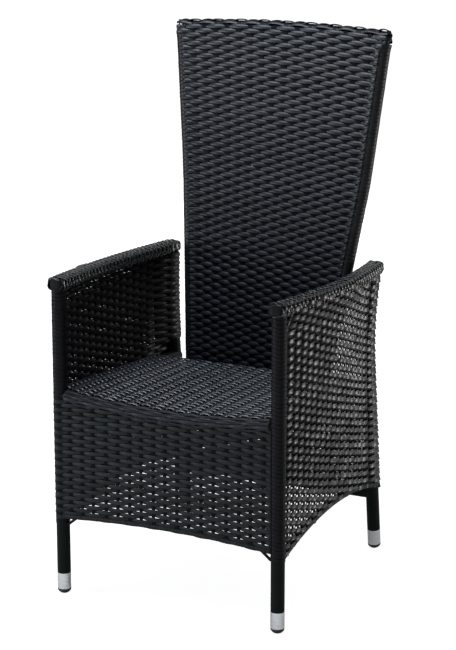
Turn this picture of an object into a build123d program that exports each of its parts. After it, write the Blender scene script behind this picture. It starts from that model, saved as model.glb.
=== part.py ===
from build123d import *
from math import cos, radians, sin, sqrt
import os

# Reclining garden armchair: a woven fixed frame, and a woven back that reclines on two hinge
# bolts, held by a lockable gas spring under the seat. Lengths are in millimetres. The chair
# faces -Y. While it is modelled, y is measured from the front posts and +X is the sitter's
# left; every piece is moved to the middle of the footprint when it is written.

# Posts, wraps and feet
post_diameter = 28.0
post_wall = 1.5
wrap_thickness = 1.5
wrap_start_z = 150.0
front_post_x = 243.5
rear_post_x = 232.0
rear_foot_y = 531.0
rear_leg_rake = 60.3
rear_knee_y = rear_foot_y - rear_leg_rake
rear_knee_z = 440.0
tip_height = 11.5
tip_dome_radius = 16.0
tip_flat_radius = 5.0
tip_plug_length = 14.0
ferrule_height = 34.0
ferrule_wall = 1.5
ferrule_spigot_length = 20.0

# Arm rails, a flat oval tube bowed outwards under its wrap
arm_width = 32.0
arm_height = 22.0
arm_corner = 7.0
arm_wall = 1.5
arm_wrap = 2.0
arm_end_chamfer = 3.0
arm_overhang = 17.0
arm_front_x = 242.1
arm_middle_x = 259.9
arm_rear_x = 238.9
arm_rear_reach = 26.3
arm_rear_y = rear_knee_y + arm_rear_reach
arm_middle_y = arm_rear_y / 2
arm_front_z = 659.2
arm_middle_z = 647.4
arm_rear_z = 641.0

# Seat frame
rail_diameter = 25.0
rail_wall = 1.5
seat_roll = 3.0
front_rail_end_z = 427.5
front_rail_middle_z = 412.5
side_rail_rear_z = 395.6
seat_rear_rail_setback = 86.7
seat_rear_rail_y = rear_knee_y - seat_rear_rail_setback
cross_rail_diameter = 20.0
cross_rail_y = 165.0
cross_rail_bite = 1.2

# Woven shells
weave_thickness = 5.0
panel_inset = 5.5
panel_arch_end_z = 147.0
panel_arch_middle_z = 185.0
panel_arch_share = 0.47
panel_arch_middle_y = panel_arch_share * rear_foot_y
panel_straight_z = 140.0
panel_bowed_z = 650.0
panel_margin = 12.0
panel_foot_bow = 1.2
stake_width = 12.0
stake_rise = 1.8
panel_stake_count = 20
skirt_face = 14.5
skirt_end_z = 165.0
skirt_middle_z = 176.5
skirt_rod_diameter = 10.0
skirt_rod_drop = 7.0
brace_diameter = 6.0
brace_reach = 24.0
brace_drop = 21.0
rear_skirt_face = 14.0
rear_top_rail_z = 368.0
rear_lower_rail_z = 131.0

# Back frame, given by the axis of its side tubes
hinge_x = 150.8
hinge_setback = 24.4
hinge_y = seat_rear_rail_y + hinge_setback
hinge_z = 380.0
back_bend_x = 203.2
back_bend_setback = 93.6
back_bend_y = hinge_y + back_bend_setback
back_bend_z = 815.0
back_corner_x = 233.1
back_corner_setback = 124.1
back_corner_y = hinge_y + back_corner_setback
back_corner_z = 1117.0
back_crown = 8.5
back_bend_radius = 950.0
back_tube_diameter = 25.0
back_tube_wall = 1.5
back_top_tube_diameter = 22.0
back_tail_z = 347.0
back_lower_tube_z = 357.0
back_lower_tube_diameter = 20.0
back_wrap_start_z = 408.0
back_face_offset = 13.0
back_weave_foot_z = 352.0
back_notch_z = 414.0
back_stake_foot_z = 430.0
back_stake_count = 17

# Hinges
hinge_gap = 16.0
plate_thickness = 4.0
hinge_rail_lobe = 10.0
hinge_pin_lobe = 11.5
bush_diameter = 12.0
bush_end_clearance = 0.3
bolt_diameter = 8.0
bolt_clearance = 0.05
bolt_head_width = 13.0
bolt_head_height = 5.3
bolt_tail = 2.0
nut_height = 6.5
washer_diameter = 16.0
washer_thickness = 1.6
recline_limit = 32.0

# Gas spring, between the back's lever plates and the release head under the seat
gas_lever_radius = 50.0
gas_cylinder_diameter = 28.0
gas_cylinder_wall = 1.5
gas_cylinder_length = 150.0
gas_cylinder_end = 3.0
gas_neck_diameter = 12.0
gas_neck_length = 25.0
gas_eye_diameter = 20.0
gas_eye_width = 14.0
gas_eye_play = 1.4
gas_gland_length = 8.0
gas_rod_diameter = 10.0
gas_rod_clearance = 0.05
gas_piston_length = 8.0
gas_piston_clearance = 0.35
gas_piston_setback = 22.0
lever_plate_gap = 7.6
lever_tube_lobe = 13.0
lever_pin_lobe = 9.0
clevis_head_diameter = 12.0
clevis_head_height = 2.5
clevis_clip_thickness = 1.5

# Release head and its U-bracket, hung from the cross rail
release_shaft_y = 168.0
finger_reach = 12.0
finger_nose_radius = 4.0
finger_width = 8.0
finger_hub_diameter = 14.0
head_width = 24.0
head_front = 9.0
head_length = 38.0
head_below_shaft = 11.0
head_above_rod = 26.0
head_fillet = 2.5
head_slot_side_gap = 0.5
head_slot_depth = 19.0
head_slot_above_rod = 10.0
head_rod_seat = 12.0
head_bolt_above_rod = 16.0
head_bolt_from_rear = 9.0
bracket_rail_lobe = 14.0
bracket_bolt_lobe = 9.5
bracket_web_height = 18.0
bracket_web_lift = 3.0
release_pin_diameter = 4.0
release_pin_clearance = 0.05
release_pin_gap = 1.0
release_pin_length = 32.0
release_travel = 2.5

# Release lever on the sitter's right, and its bearings
shaft_diameter = 10.0
shaft_clearance = 0.05
shaft_tail = 6.0
lever_bracket_eye = 11.0
lever_bracket_root = 13.0
lever_bracket_inset = 14.0
grommet_diameter = 18.0
grommet_flange_diameter = 24.0
grommet_flange_thickness = 1.5
grommet_shaft_gap = 0.5
lever_panel_gap = 3.0
lever_thickness = 5.0
lever_hub_radius = 9.0
lever_end_radius = 6.0
lever_length = 70.0
lever_rise = 8.0
grip_length = 42.0
grip_overlap = 33.0
grip_thickness = 12.0
grip_radius = 9.0
grip_bevel = 2.0

# Room beyond a piece for cutting tools
overrun = 40.0

parts = {}


def along(path, section):
    """A flat section carried along a path; an arc carries it round the arc's own centre."""
    edges = path.edges()
    if len(edges) == 1 and edges[0].geom_type == GeomType.CIRCLE:
        arc = edges[0]
        centre = arc.arc_center
        spin = (arc @ 0 - centre).cross(arc % 0)
        turn = (arc @ 0 - centre).get_angle(arc @ 1 - centre)
        return revolve(section, axis=Axis(centre, spin), revolution_arc=turn)
    return sweep(section, path)


def round_bar(path, diameter):
    """A solid bar along a path, its round section square to the path's start."""
    return along(path, Plane(origin=path @ 0, z_dir=path % 0) * Circle(diameter / 2))


def round_tube(path, diameter, wall):
    """A tube along a path."""
    section = Circle(diameter / 2) - Circle(diameter / 2 - wall)
    return along(path, Plane(origin=path @ 0, z_dir=path % 0) * section)


def flat_oval(path, width, height, corner):
    """A flat oval bar along an arc, its top level across the chair where it starts."""
    tangent = path % 0
    start = Plane(origin=path @ 0, x_dir=tangent.cross(Vector(0, 0, 1)), z_dir=tangent)
    return along(path, start * RectangleRounded(width, height, corner))


def main_solid(shape):
    """The largest solid of a cut shape, without its offcuts."""
    return max(shape.solids(), key=lambda solid: solid.volume)


def mirrored(shape):
    """The same piece on the other side of the chair."""
    return mirror(shape, about=Plane.YZ)


def add_pair(name, shape):
    """Keep a piece for the sitter's left, and its mirror image for the right."""
    parts[name + "_left"] = shape
    parts[name + "_right"] = mirrored(shape)


def cylinder_across(x_from, x_to, y, z, diameter):
    """A round bar that runs across the chair."""
    middle = (x_from + x_to) / 2
    bar = Cylinder(diameter / 2, abs(x_to - x_from), rotation=(0, 90, 0))
    return Pos(middle, y, z) * bar


def side_profile(x_from, thickness, sketch):
    """Extrude a sketch drawn in the side view, with its x along Y and its y along Z."""
    return Pos(x_from, 0, 0) * extrude(Plane.YZ * sketch, amount=thickness)


def lobed_link(first, first_radius, second, second_radius):
    """The outline of a plate that joins two round lobes, in the side view."""
    lobes = Pos(*first) * Circle(first_radius) + Pos(*second) * Circle(second_radius)
    return make_hull(lobes.edges())


def hexagon_across(x_from, height, y, z, width):
    """A hexagonal head or nut whose axis runs across the chair."""
    outline = RegularPolygon(width / 2, 6, major_radius=False)
    return side_profile(x_from, height, Pos(y, z) * outline)


# Routes of the legs, arms and rails
arm_path = ThreePointArc(
    (arm_front_x, -arm_overhang, arm_front_z),
    (arm_middle_x, arm_middle_y, arm_middle_z),
    (arm_rear_x, arm_rear_y, arm_rear_z),
)
front_foot = Vector(front_post_x, 0, 0)
front_leg_way = Vector(0, 0, 1)
front_leg_top = Vector(front_post_x, 0, arm_front_z)
rear_foot = Vector(rear_post_x, rear_foot_y, 0)
rear_knee = Vector(rear_post_x, rear_knee_y, rear_knee_z)
rear_leg_way = (rear_knee - rear_foot).normalized()
rear_leg_top = arm_path @ (1 - arm_overhang / arm_path.length)
wrapped_post_diameter = post_diameter + 2 * wrap_thickness
foot_height = tip_height + ferrule_height


def rear_leg_at(z):
    """The axis of the straight stretch of a rear leg at a height."""
    return rear_foot + (rear_knee - rear_foot) * (z / rear_knee_z)


def rear_leg_path(start):
    """The rear post's axis from a point on its straight stretch to the arm."""
    bend = TangentArc(rear_knee, rear_leg_top, tangent=rear_leg_way)
    return Wire([Line(start, rear_knee), bend])


def side_rail_at(y):
    """The axis of a side rail, beside the woven panel, at a distance behind the front posts."""
    share = y / side_rail_end_y
    x = front_post_x + (rear_post_x - front_post_x) * share - side_rail_inset
    z = front_rail_end_z + (side_rail_rear_z - front_rail_end_z) * share
    return Vector(x, y, z)


side_rail_inset = rail_diameter / 2 - panel_inset
side_rail_end_y = rear_leg_at(side_rail_rear_z).Y

# Envelopes that other pieces are trimmed to
front_post_solid = round_bar(Line(front_foot, front_leg_top), post_diameter)
front_wrap_solid = round_bar(Line(front_foot, front_leg_top), wrapped_post_diameter)
rear_post_solid = round_bar(rear_leg_path(rear_foot), post_diameter)
rear_wrap_solid = round_bar(rear_leg_path(rear_foot), wrapped_post_diameter)
arm_wrap_solid = flat_oval(
    arm_path, arm_width + 2 * arm_wrap, arm_height + 2 * arm_wrap, arm_corner + arm_wrap
)
posts = front_post_solid + rear_post_solid
both_posts = posts + mirrored(posts)
wrapped_posts = front_wrap_solid + rear_wrap_solid
both_wrapped_posts = wrapped_posts + mirrored(wrapped_posts)


def make_arm():
    """The arm's tube, and the wrap that covers it and closes its ends."""
    inside = arm_path.trim(arm_wrap / arm_path.length, 1 - arm_wrap / arm_path.length)
    rail_solid = flat_oval(inside, arm_width, arm_height, arm_corner)
    bore = flat_oval(
        inside, arm_width - 2 * arm_wall, arm_height - 2 * arm_wall, arm_corner - arm_wall
    )
    ends = arm_wrap_solid.faces().sort_by(Axis.Y)
    blunt = chamfer(ends[0].edges() + ends[-1].edges(), arm_end_chamfer)
    rail = rail_solid - bore
    wrap = blunt - rail_solid - posts
    return main_solid(rail), main_solid(wrap), rail_solid


arm_rail, arm_wrap_shell, arm_rail_solid = make_arm()
add_pair("arm_rail", arm_rail)
add_pair("arm_wrap", arm_wrap_shell)


def make_front_post():
    """A front post from its ferrule up to the underside of the arm's tube."""
    path = Line(front_foot + front_leg_way * foot_height, front_leg_top)
    return main_solid(round_tube(path, post_diameter, post_wall) - arm_rail_solid)


def make_rear_post():
    """A rear post, straight to the knee and then bent back up to the arm."""
    path = rear_leg_path(rear_foot + rear_leg_way * foot_height)
    return main_solid(round_tube(path, post_diameter, post_wall) - arm_rail_solid)


add_pair("front_post", make_front_post())
add_pair("rear_post", make_rear_post())


def make_seat_rails():
    """The four rails round the seat and the one that crosses under it."""
    front_path = ThreePointArc(
        (-front_post_x, 0, front_rail_end_z),
        (0, 0, front_rail_middle_z),
        (front_post_x, 0, front_rail_end_z),
    )
    front = main_solid(round_tube(front_path, rail_diameter, rail_wall) - both_posts)
    roll = round_bar(front_path, rail_diameter + 2 * seat_roll)
    side_path = Line(side_rail_at(0), side_rail_at(side_rail_end_y))
    side_tube = round_tube(side_path, rail_diameter, rail_wall)
    side = main_solid(side_tube - posts - round_bar(front_path, rail_diameter))
    side_solid = round_bar(side_path, rail_diameter)
    both_sides = side_solid + mirrored(side_solid)
    rear_end = side_rail_at(seat_rear_rail_y)
    rear_path = Line(Vector(-rear_end.X, rear_end.Y, rear_end.Z), rear_end)
    rear = main_solid(round_tube(rear_path, rail_diameter, rail_wall) - both_sides)
    cross_end = side_rail_at(cross_rail_y)
    cross_end -= Vector(0, 0, (rail_diameter + cross_rail_diameter) / 2 - cross_rail_bite)
    cross_path = Line(Vector(-cross_end.X, cross_end.Y, cross_end.Z), cross_end)
    cross = main_solid(round_tube(cross_path, cross_rail_diameter, rail_wall) - both_sides)
    return front_path, front, roll, side, side_solid, rear_path, rear, cross_path, cross


(front_rail_path, front_rail, front_roll_solid, side_rail, side_rail_solid, rear_rail_path,
 seat_rear_rail, cross_rail_path, cross_rail) = make_seat_rails()
both_side_rails = side_rail_solid + mirrored(side_rail_solid)
parts["seat_front_rail"] = front_rail
parts["seat_rear_rail"] = seat_rear_rail
parts["seat_cross_rail"] = cross_rail
add_pair("seat_side_rail", side_rail)


def rear_rail_between_posts(z):
    """The route of a rail that joins the rear posts at a height."""
    end = rear_leg_at(z)
    return Line(Vector(-end.X, end.Y, end.Z), end)


def make_rear_rails():
    """The two rails that carry the rear skirt."""
    rails = []
    for z in (rear_top_rail_z, rear_lower_rail_z):
        path = rear_rail_between_posts(z)
        rails.append(main_solid(round_tube(path, rail_diameter, rail_wall) - both_posts))
    return rails


rear_top_rail, rear_lower_rail = make_rear_rails()
parts["rear_top_rail"] = rear_top_rail
parts["rear_lower_rail"] = rear_lower_rail


def make_skirt_rods():
    """The bent rods in the lower edges of the front skirt and of the side panels."""
    front_y = weave_thickness + skirt_rod_diameter / 2 - skirt_face
    end_z = skirt_end_z + skirt_rod_drop
    front_path = ThreePointArc(
        (-front_post_x, front_y, end_z),
        (0, front_y, skirt_middle_z + skirt_rod_drop),
        (front_post_x, front_y, end_z),
    )
    rod = round_bar(front_path, skirt_rod_diameter)
    inner = front_post_x - post_diameter / 2
    brace_path = Line(
        (inner - brace_reach, front_y, end_z),
        (inner + wrap_thickness, front_y, end_z - brace_drop),
    )
    brace = round_bar(brace_path, brace_diameter)
    front = main_solid(rod + brace + mirrored(brace) - both_posts)
    side_offset = panel_inset - skirt_rod_diameter / 2
    arch_lift = skirt_rod_drop - (skirt_rod_diameter - weave_thickness) / 2
    rear_y = rear_leg_at(panel_arch_end_z).Y
    side_path = ThreePointArc(
        (front_post_x + side_offset, 0, panel_arch_end_z + arch_lift),
        (
            (front_post_x + rear_post_x) / 2 + side_offset,
            panel_arch_middle_y,
            panel_arch_middle_z + arch_lift,
        ),
        (rear_post_x + side_offset, rear_y, panel_arch_end_z + arch_lift),
    )
    side_solid = round_bar(side_path, skirt_rod_diameter)
    return front, main_solid(side_solid - posts), side_solid


front_rod, side_rod, side_rod_solid = make_skirt_rods()
parts["skirt_front_rod"] = front_rod
add_pair("skirt_side_rod", side_rod)


def band_face(z, rear_y, bow):
    """A level section of a side panel: a band beside the posts, bowed out by some amount."""
    edges = []
    faces_x = (panel_inset, panel_inset + weave_thickness)
    ends = []
    for offset in faces_x:
        start = Vector(front_post_x + offset, 0, z)
        end = Vector(rear_post_x + offset, rear_y, z)
        middle = (start + end) * 0.5 + Vector(bow, 0, 0)
        edges.append(ThreePointArc(start, middle, end))
        ends.append((start, end))
    edges.append(Line(ends[0][0], ends[1][0]))
    edges.append(Line(ends[0][1], ends[1][1]))
    return make_face(edges)


def panel_middle_at(share, z, rear_y, bow):
    """The middle of a side panel's thickness, at a share of the way from front to rear."""
    x = front_post_x + (rear_post_x - front_post_x) * share + panel_inset + weave_thickness / 2
    return Vector(x + 4 * bow * share * (1 - share), rear_y * share, z)


def make_panel_stakes(straight_y, arm_bow):
    """The uprights that the side is woven round, proud of both of its faces."""
    stakes = []
    for index in range(1, panel_stake_count):
        share = index / panel_stake_count
        low = panel_middle_at(share, panel_straight_z, straight_y, panel_foot_bow)
        high = panel_middle_at(share, panel_bowed_z, arm_rear_y, arm_bow)
        section = Plane(origin=low, x_dir=(1, 0, 0), z_dir=high - low) * Rectangle(
            weave_thickness + 2 * stake_rise, stake_width
        )
        stakes.append(extrude(section, amount=(high - low).length))
    return stakes


def make_side_panel():
    """The woven side: straight at the seat, bowed at the arm, with an arched lower edge."""
    straight_y = rear_leg_at(panel_straight_z).Y + panel_margin
    arm_bow = arm_middle_x - (front_post_x + rear_post_x) / 2
    lower = band_face(panel_straight_z, straight_y, panel_foot_bow)
    upper = band_face(panel_bowed_z, arm_rear_y, arm_bow)
    blank = loft([lower, upper]) + make_panel_stakes(straight_y, arm_bow)
    arch = ThreePointArc(
        (0, panel_arch_end_z),
        (panel_arch_middle_y, panel_arch_middle_z),
        (rear_leg_at(panel_arch_end_z).Y, panel_arch_end_z),
    )
    rear_y = rear_foot_y + overrun
    under = Polyline(
        arch @ 1, (rear_y, panel_arch_end_z), (rear_y, 0), (-overrun, 0),
        (-overrun, panel_arch_end_z), arch @ 0,
    )
    below = side_profile(rear_post_x - overrun, 3 * overrun, make_face([arch] + under.edges()))
    panel = blank - below - wrapped_posts - arm_wrap_solid - side_rod_solid - side_rail_solid
    return main_solid(panel)


side_panel = make_side_panel()


def make_front_skirt():
    """The woven front skirt, from the seat's roll down to its shallow arched edge."""
    top = ThreePointArc(
        (front_post_x, front_rail_end_z), (0, front_rail_middle_z),
        (-front_post_x, front_rail_end_z),
    )
    bottom = ThreePointArc(
        (-front_post_x, skirt_end_z), (0, skirt_middle_z), (front_post_x, skirt_end_z)
    )
    outline = make_face([top, Line(top @ 1, bottom @ 0), bottom, Line(bottom @ 1, top @ 0)])
    blank = extrude(Plane.XZ * outline, amount=weave_thickness)
    blank = Pos(0, weave_thickness - skirt_face, 0) * blank
    return main_solid(blank - front_roll_solid - both_wrapped_posts - front_rod)


def make_rear_skirt():
    """The woven rear skirt between the rear posts, wrapped over its top rail."""
    top = rear_leg_at(rear_top_rail_z)
    low = rear_leg_at(rear_lower_rail_z)
    behind = Vector(0, rear_leg_way.Z, -rear_leg_way.Y)
    corners = []
    for end in (top, low):
        for depth in (rear_skirt_face, rear_skirt_face - weave_thickness):
            corners.append(end + behind * depth)
    outline = Polygon(*[(corners[i].Y, corners[i].Z) for i in (0, 1, 3, 2)], align=None)
    sheet = side_profile(-rear_post_x, 2 * rear_post_x, outline)
    rails = [round_bar(rear_rail_between_posts(z), rail_diameter)
             for z in (rear_top_rail_z, rear_lower_rail_z)]
    hem = round_bar(rear_rail_between_posts(rear_top_rail_z), rail_diameter + 2 * wrap_thickness)
    return main_solid(sheet + hem - rails[0] - rails[1] - both_wrapped_posts)


def make_seat_front_wrap():
    """The rolled front edge of the seat, over the front rail."""
    rail_solid = round_bar(front_rail_path, rail_diameter)
    return main_solid(front_roll_solid - rail_solid - both_wrapped_posts - both_side_rails)


parts["front_skirt"] = make_front_skirt()
parts["rear_skirt"] = make_rear_skirt()
parts["seat_front_wrap"] = make_seat_front_wrap()


def make_hinge_plates():
    """The two hinge plates of one side, and the same plates uncut for trimming."""
    rail = rear_rail_path @ 0
    outline = lobed_link(
        (rail.Y, rail.Z), hinge_rail_lobe, (hinge_y, hinge_z), hinge_pin_lobe
    )
    hole = Pos(hinge_y, hinge_z) * Circle(bolt_diameter / 2 + bolt_clearance)
    rail_solid = round_bar(rear_rail_path, rail_diameter)
    plates = []
    for x in (hinge_x - hinge_gap - plate_thickness, hinge_x + hinge_gap):
        plates.append(main_solid(side_profile(x, plate_thickness, outline - hole) - rail_solid))
    return plates


hinge_plates = make_hinge_plates()
parts["hinge_brackets"] = Compound(hinge_plates + [mirrored(plate) for plate in hinge_plates])


def make_seat_weave():
    """The woven seat, from the dipped front roll to the straight rear rail."""
    half_front = front_post_x + panel_inset + panel_margin
    half_rear = rear_post_x + panel_inset + panel_margin
    roll_radius = rail_diameter / 2 + seat_roll
    sections = []
    for z_shift in (roll_radius, roll_radius - weave_thickness):
        sections.append(ThreePointArc(
            (-half_front, 0, front_rail_end_z + z_shift),
            (0, 0, front_rail_middle_z + z_shift),
            (half_front, 0, front_rail_end_z + z_shift),
        ))
    upper, lower = sections
    front = make_face([upper, Line(upper @ 0, lower @ 0), lower, Line(upper @ 1, lower @ 1)])
    rail = rear_rail_path @ 0
    rear_top = rail.Z + rail_diameter / 2 + wrap_thickness
    left, right = Vector(half_rear, rail.Y, rear_top), Vector(-half_rear, rail.Y, rear_top)
    down = Vector(0, 0, -weave_thickness)
    rear = make_face(Polyline(right, left, left + down, right + down, close=True).edges())
    sheet = loft([front, rear])
    hem = round_bar(rear_rail_path, rail_diameter + 2 * wrap_thickness)
    seat = sheet + hem
    for solid in (front_roll_solid, round_bar(rear_rail_path, rail_diameter), both_side_rails,
                  both_wrapped_posts, side_panel, mirrored(side_panel),
                  parts["hinge_brackets"]):
        seat -= solid
    return main_solid(seat)


parts["seat_weave"] = make_seat_weave()


def make_post_wraps():
    """The strip wrapped round a front and a rear post, between the foot and the arm."""
    rails = both_side_rails + side_rod_solid + parts["skirt_front_rod"]
    rails += round_bar(front_rail_path, rail_diameter)
    for z in (rear_top_rail_z, rear_lower_rail_z):
        rails += round_bar(rear_rail_between_posts(z), rail_diameter)
    front_path = Line(Vector(front_post_x, 0, wrap_start_z), front_leg_top)
    rear_path = rear_leg_path(rear_leg_at(wrap_start_z))
    wraps = []
    for path, post in ((front_path, front_post_solid), (rear_path, rear_post_solid)):
        sleeve = round_bar(path, wrapped_post_diameter)
        wraps.append(main_solid(sleeve - post - rails - arm_wrap_solid))
    return wraps


front_wrap, rear_wrap = make_post_wraps()
add_pair("front_post_wrap", front_wrap)
add_pair("rear_post_wrap", rear_wrap)


def make_foot(foot, way):
    """The ferrule and the domed tip of one leg, along the leg's own axis."""
    axis = Plane(origin=foot, x_dir=(1, 0, 0), z_dir=way)
    bore = post_diameter / 2 - post_wall
    up = (Align.CENTER, Align.CENTER, Align.MIN)
    ferrule = Pos(0, 0, tip_height) * Cylinder(post_diameter / 2, ferrule_height, align=up)
    ferrule += Pos(0, 0, foot_height) * Cylinder(bore, ferrule_spigot_length, align=up)
    hollow = Cylinder(bore - ferrule_wall, foot_height + ferrule_spigot_length, align=up)
    dome_z = sqrt(tip_dome_radius ** 2 - tip_flat_radius ** 2)
    tip = Cylinder(post_diameter / 2, tip_height, align=up) & Pos(0, 0, dome_z) * Sphere(
        tip_dome_radius
    )
    plug = Pos(0, 0, tip_height) * Cylinder(bore - ferrule_wall, tip_plug_length, align=up)
    floor = Box(4 * post_diameter, 4 * post_diameter, overrun,
                align=(Align.CENTER, Align.CENTER, Align.MAX))
    tip = axis * (tip + plug) - Pos(foot.X, foot.Y, 0) * floor
    return main_solid(axis * (ferrule - hollow)), main_solid(tip)


feet = [make_foot(front_foot, front_leg_way), make_foot(rear_foot, rear_leg_way)]
for index, name in enumerate(("foot_ferrules", "foot_tips")):
    pieces = [foot[index] for foot in feet]
    parts[name] = Compound(pieces + [mirrored(piece) for piece in pieces])

# Back frame
pivot = Vector(hinge_x, hinge_y, hinge_z)
back_bend = Vector(back_bend_x, back_bend_y, back_bend_z)
back_corner = Vector(back_corner_x, back_corner_y, back_corner_z)
lower_way = (back_bend - pivot).normalized()
upper_way = (back_corner - back_bend).normalized()


def back_axis_at(z):
    """The axis of the lower stretch of the back's side tube at a height."""
    return pivot + (back_bend - pivot) * ((z - hinge_z) / (back_bend_z - hinge_z))


def back_side_path(start_z):
    """The axis of the back's side tube from a height to its top corner."""
    start = back_axis_at(start_z)
    return FilletPolyline(start, back_bend, back_corner, radius=back_bend_radius)


def back_lower_path():
    """The route of the tube that joins the back's tails."""
    end = back_axis_at(back_lower_tube_z)
    return Line(Vector(-end.X, end.Y, end.Z), end)


crown_way = upper_way.Y / upper_way.Z
back_top_path = ThreePointArc(
    (-back_corner_x, back_corner_y, back_corner_z),
    (0, back_corner_y + back_crown * crown_way, back_corner_z + back_crown),
    (back_corner_x, back_corner_y, back_corner_z),
)


def corner_dome(diameter):
    """The half ball that closes a side tube at the back's top corner."""
    end = back_side_path(back_wrap_start_z)
    return Plane(origin=end @ 1, z_dir=end % 1) * Sphere(diameter / 2, arc_size1=0)


back_wrap_diameter = back_tube_diameter + 2 * wrap_thickness
back_top_wrap_diameter = back_top_tube_diameter + 2 * wrap_thickness
back_edge_solid = round_bar(back_side_path(back_tail_z), back_tube_diameter)
back_edge_solid += corner_dome(back_tube_diameter)
back_edge_wrap_solid = round_bar(back_side_path(back_wrap_start_z), back_wrap_diameter)
back_edge_wrap_solid += corner_dome(back_wrap_diameter)
both_edges = back_edge_solid + mirrored(back_edge_solid)
both_edge_wraps = back_edge_wrap_solid + mirrored(back_edge_wrap_solid)


def make_back_tubes():
    """The back's side tube with its rounded corner, its top tube and its lower tube."""
    bush_hole = cylinder_across(
        hinge_x - hinge_gap, hinge_x + hinge_gap, hinge_y, hinge_z, bush_diameter
    )
    bore_diameter = back_tube_diameter - 2 * back_tube_wall
    bore = round_bar(back_side_path(back_tail_z), bore_diameter)
    bore += corner_dome(bore_diameter)
    side = main_solid(back_edge_solid - bore - bush_hole)
    top_tube = round_tube(back_top_path, back_top_tube_diameter, back_tube_wall)
    top = main_solid(top_tube - both_edges)
    lower_tube = round_tube(back_lower_path(), back_lower_tube_diameter, back_tube_wall)
    lower = main_solid(lower_tube - both_edges)
    return side, top, lower


back_side_tube, back_top_tube, back_lower_tube = make_back_tubes()
add_pair("back_side_tube", back_side_tube)
parts["back_top_tube"] = back_top_tube
parts["back_lower_tube"] = back_lower_tube


def make_back_wraps():
    """The strip wrapped round the back's side tubes and its top tube."""
    top_bar = round_bar(back_top_path, back_top_tube_diameter)
    edge = main_solid(back_edge_wrap_solid - back_edge_solid - top_bar)
    top_solid = round_bar(back_top_path, back_top_wrap_diameter)
    top = main_solid(top_solid - top_bar - both_edge_wraps)
    return edge, top, top_solid


back_edge_wrap, back_top_wrap, back_top_wrap_solid = make_back_wraps()
add_pair("back_edge_wrap", back_edge_wrap)
parts["back_top_wrap"] = back_top_wrap
hinge_stack = plate_thickness + washer_thickness + nut_height + bolt_tail


def back_stake_outlines():
    """The back's uprights in the front view, which fan out as the frame widens."""
    foot = back_axis_at(back_stake_foot_z)
    levels = [(foot.X, foot.Z), (back_bend_x, back_bend_z),
              (back_corner_x, back_corner_z + back_crown)]
    outlines = Sketch()
    for index in range(1, back_stake_count):
        spread = 2 * index / back_stake_count - 1
        left = [(x * spread - stake_width / 2, z) for x, z in levels]
        right = [(x * spread + stake_width / 2, z) for x, z in reversed(levels)]
        outlines += Polygon(*(left + right), align=None)
    return outlines


def make_back_weave():
    """The woven back: a bent sheet near the front of the frame, cut to the frame's outline."""
    points = [Vector(0, point.Y, point.Z)
              for point in (back_axis_at(back_weave_foot_z), back_bend,
                            back_corner + upper_way * overrun)]
    path = FilletPolyline(*points, radius=back_bend_radius)
    start = Plane(origin=path @ 0, x_dir=(1, 0, 0), z_dir=path % 0)
    middle = back_face_offset - weave_thickness / 2
    face_way = start.y_dir
    shift = middle if face_way.Y < 0 else -middle
    section = start * Pos(0, shift) * Rectangle(3 * back_corner_x, weave_thickness)
    proud = start * Pos(0, shift) * Rectangle(
        3 * back_corner_x, weave_thickness + 2 * stake_rise
    )
    slats = extrude(Plane.XZ * back_stake_outlines(), amount=rear_foot_y, both=True)
    sheet = sweep(section, path) + (sweep(proud, path) & Pos(0, hinge_y, 0) * slats)
    notch_x = hinge_x - hinge_gap - hinge_stack - bolt_diameter
    low = back_axis_at(back_notch_z)
    right_side = [(notch_x, back_weave_foot_z), (notch_x, back_notch_z), (low.X, back_notch_z),
                  (back_bend_x, back_bend_z), (back_corner_x, back_corner_z)]
    left_side = [(-x, z) for x, z in reversed(right_side)]
    top_arc = ThreePointArc(
        right_side[-1], (0, back_corner_z + back_crown), left_side[0]
    )
    edges = Polyline(*right_side).edges() + [top_arc] + Polyline(*left_side).edges()
    edges += [Line(left_side[-1], right_side[0])]
    outline = extrude(Plane.XZ * make_face(edges), amount=rear_foot_y, both=True)
    outline = Pos(0, hinge_y, 0) * outline
    sheet = sheet & outline
    for solid in (both_edge_wraps, both_edges, back_top_wrap_solid,
                  round_bar(back_lower_path(), back_lower_tube_diameter)):
        sheet -= solid
    return main_solid(sheet)


parts["back_weave"] = make_back_weave()


def make_hinge_hardware():
    """Bushes in the back's side tubes, and the bolts, washers and nuts of the hinges."""
    bush_half = hinge_gap - bush_end_clearance
    bush = cylinder_across(hinge_x - bush_half, hinge_x + bush_half, hinge_y, hinge_z,
                           bush_diameter)
    bush -= cylinder_across(hinge_x - hinge_gap, hinge_x + hinge_gap, hinge_y, hinge_z,
                            bolt_diameter + 2 * bolt_clearance)
    outer = hinge_x + hinge_gap + plate_thickness
    inner = hinge_x - hinge_gap - plate_thickness
    bolt = cylinder_across(inner - washer_thickness - nut_height - bolt_tail,
                           outer + washer_thickness, hinge_y, hinge_z, bolt_diameter)
    bolt += hexagon_across(outer + washer_thickness, bolt_head_height, hinge_y, hinge_z,
                           bolt_head_width)
    nut = hexagon_across(inner - washer_thickness - nut_height, nut_height, hinge_y, hinge_z,
                         bolt_head_width)
    washers = []
    for start in (outer, inner - washer_thickness):
        disc = cylinder_across(start, start + washer_thickness, hinge_y, hinge_z,
                               washer_diameter)
        washers.append(main_solid(disc - bolt))
    return main_solid(bush), main_solid(bolt), main_solid(nut - bolt), washers


hinge_bush, hinge_bolt, hinge_nut, hinge_washers = make_hinge_hardware()
parts["hinge_bushes"] = Compound([hinge_bush, mirrored(hinge_bush)])
parts["hinge_bolts"] = Compound([hinge_bolt, mirrored(hinge_bolt)])
parts["hinge_nuts"] = Compound([hinge_nut, mirrored(hinge_nut)])
parts["hinge_washers"] = Compound(hinge_washers + [mirrored(disc) for disc in hinge_washers])

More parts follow.
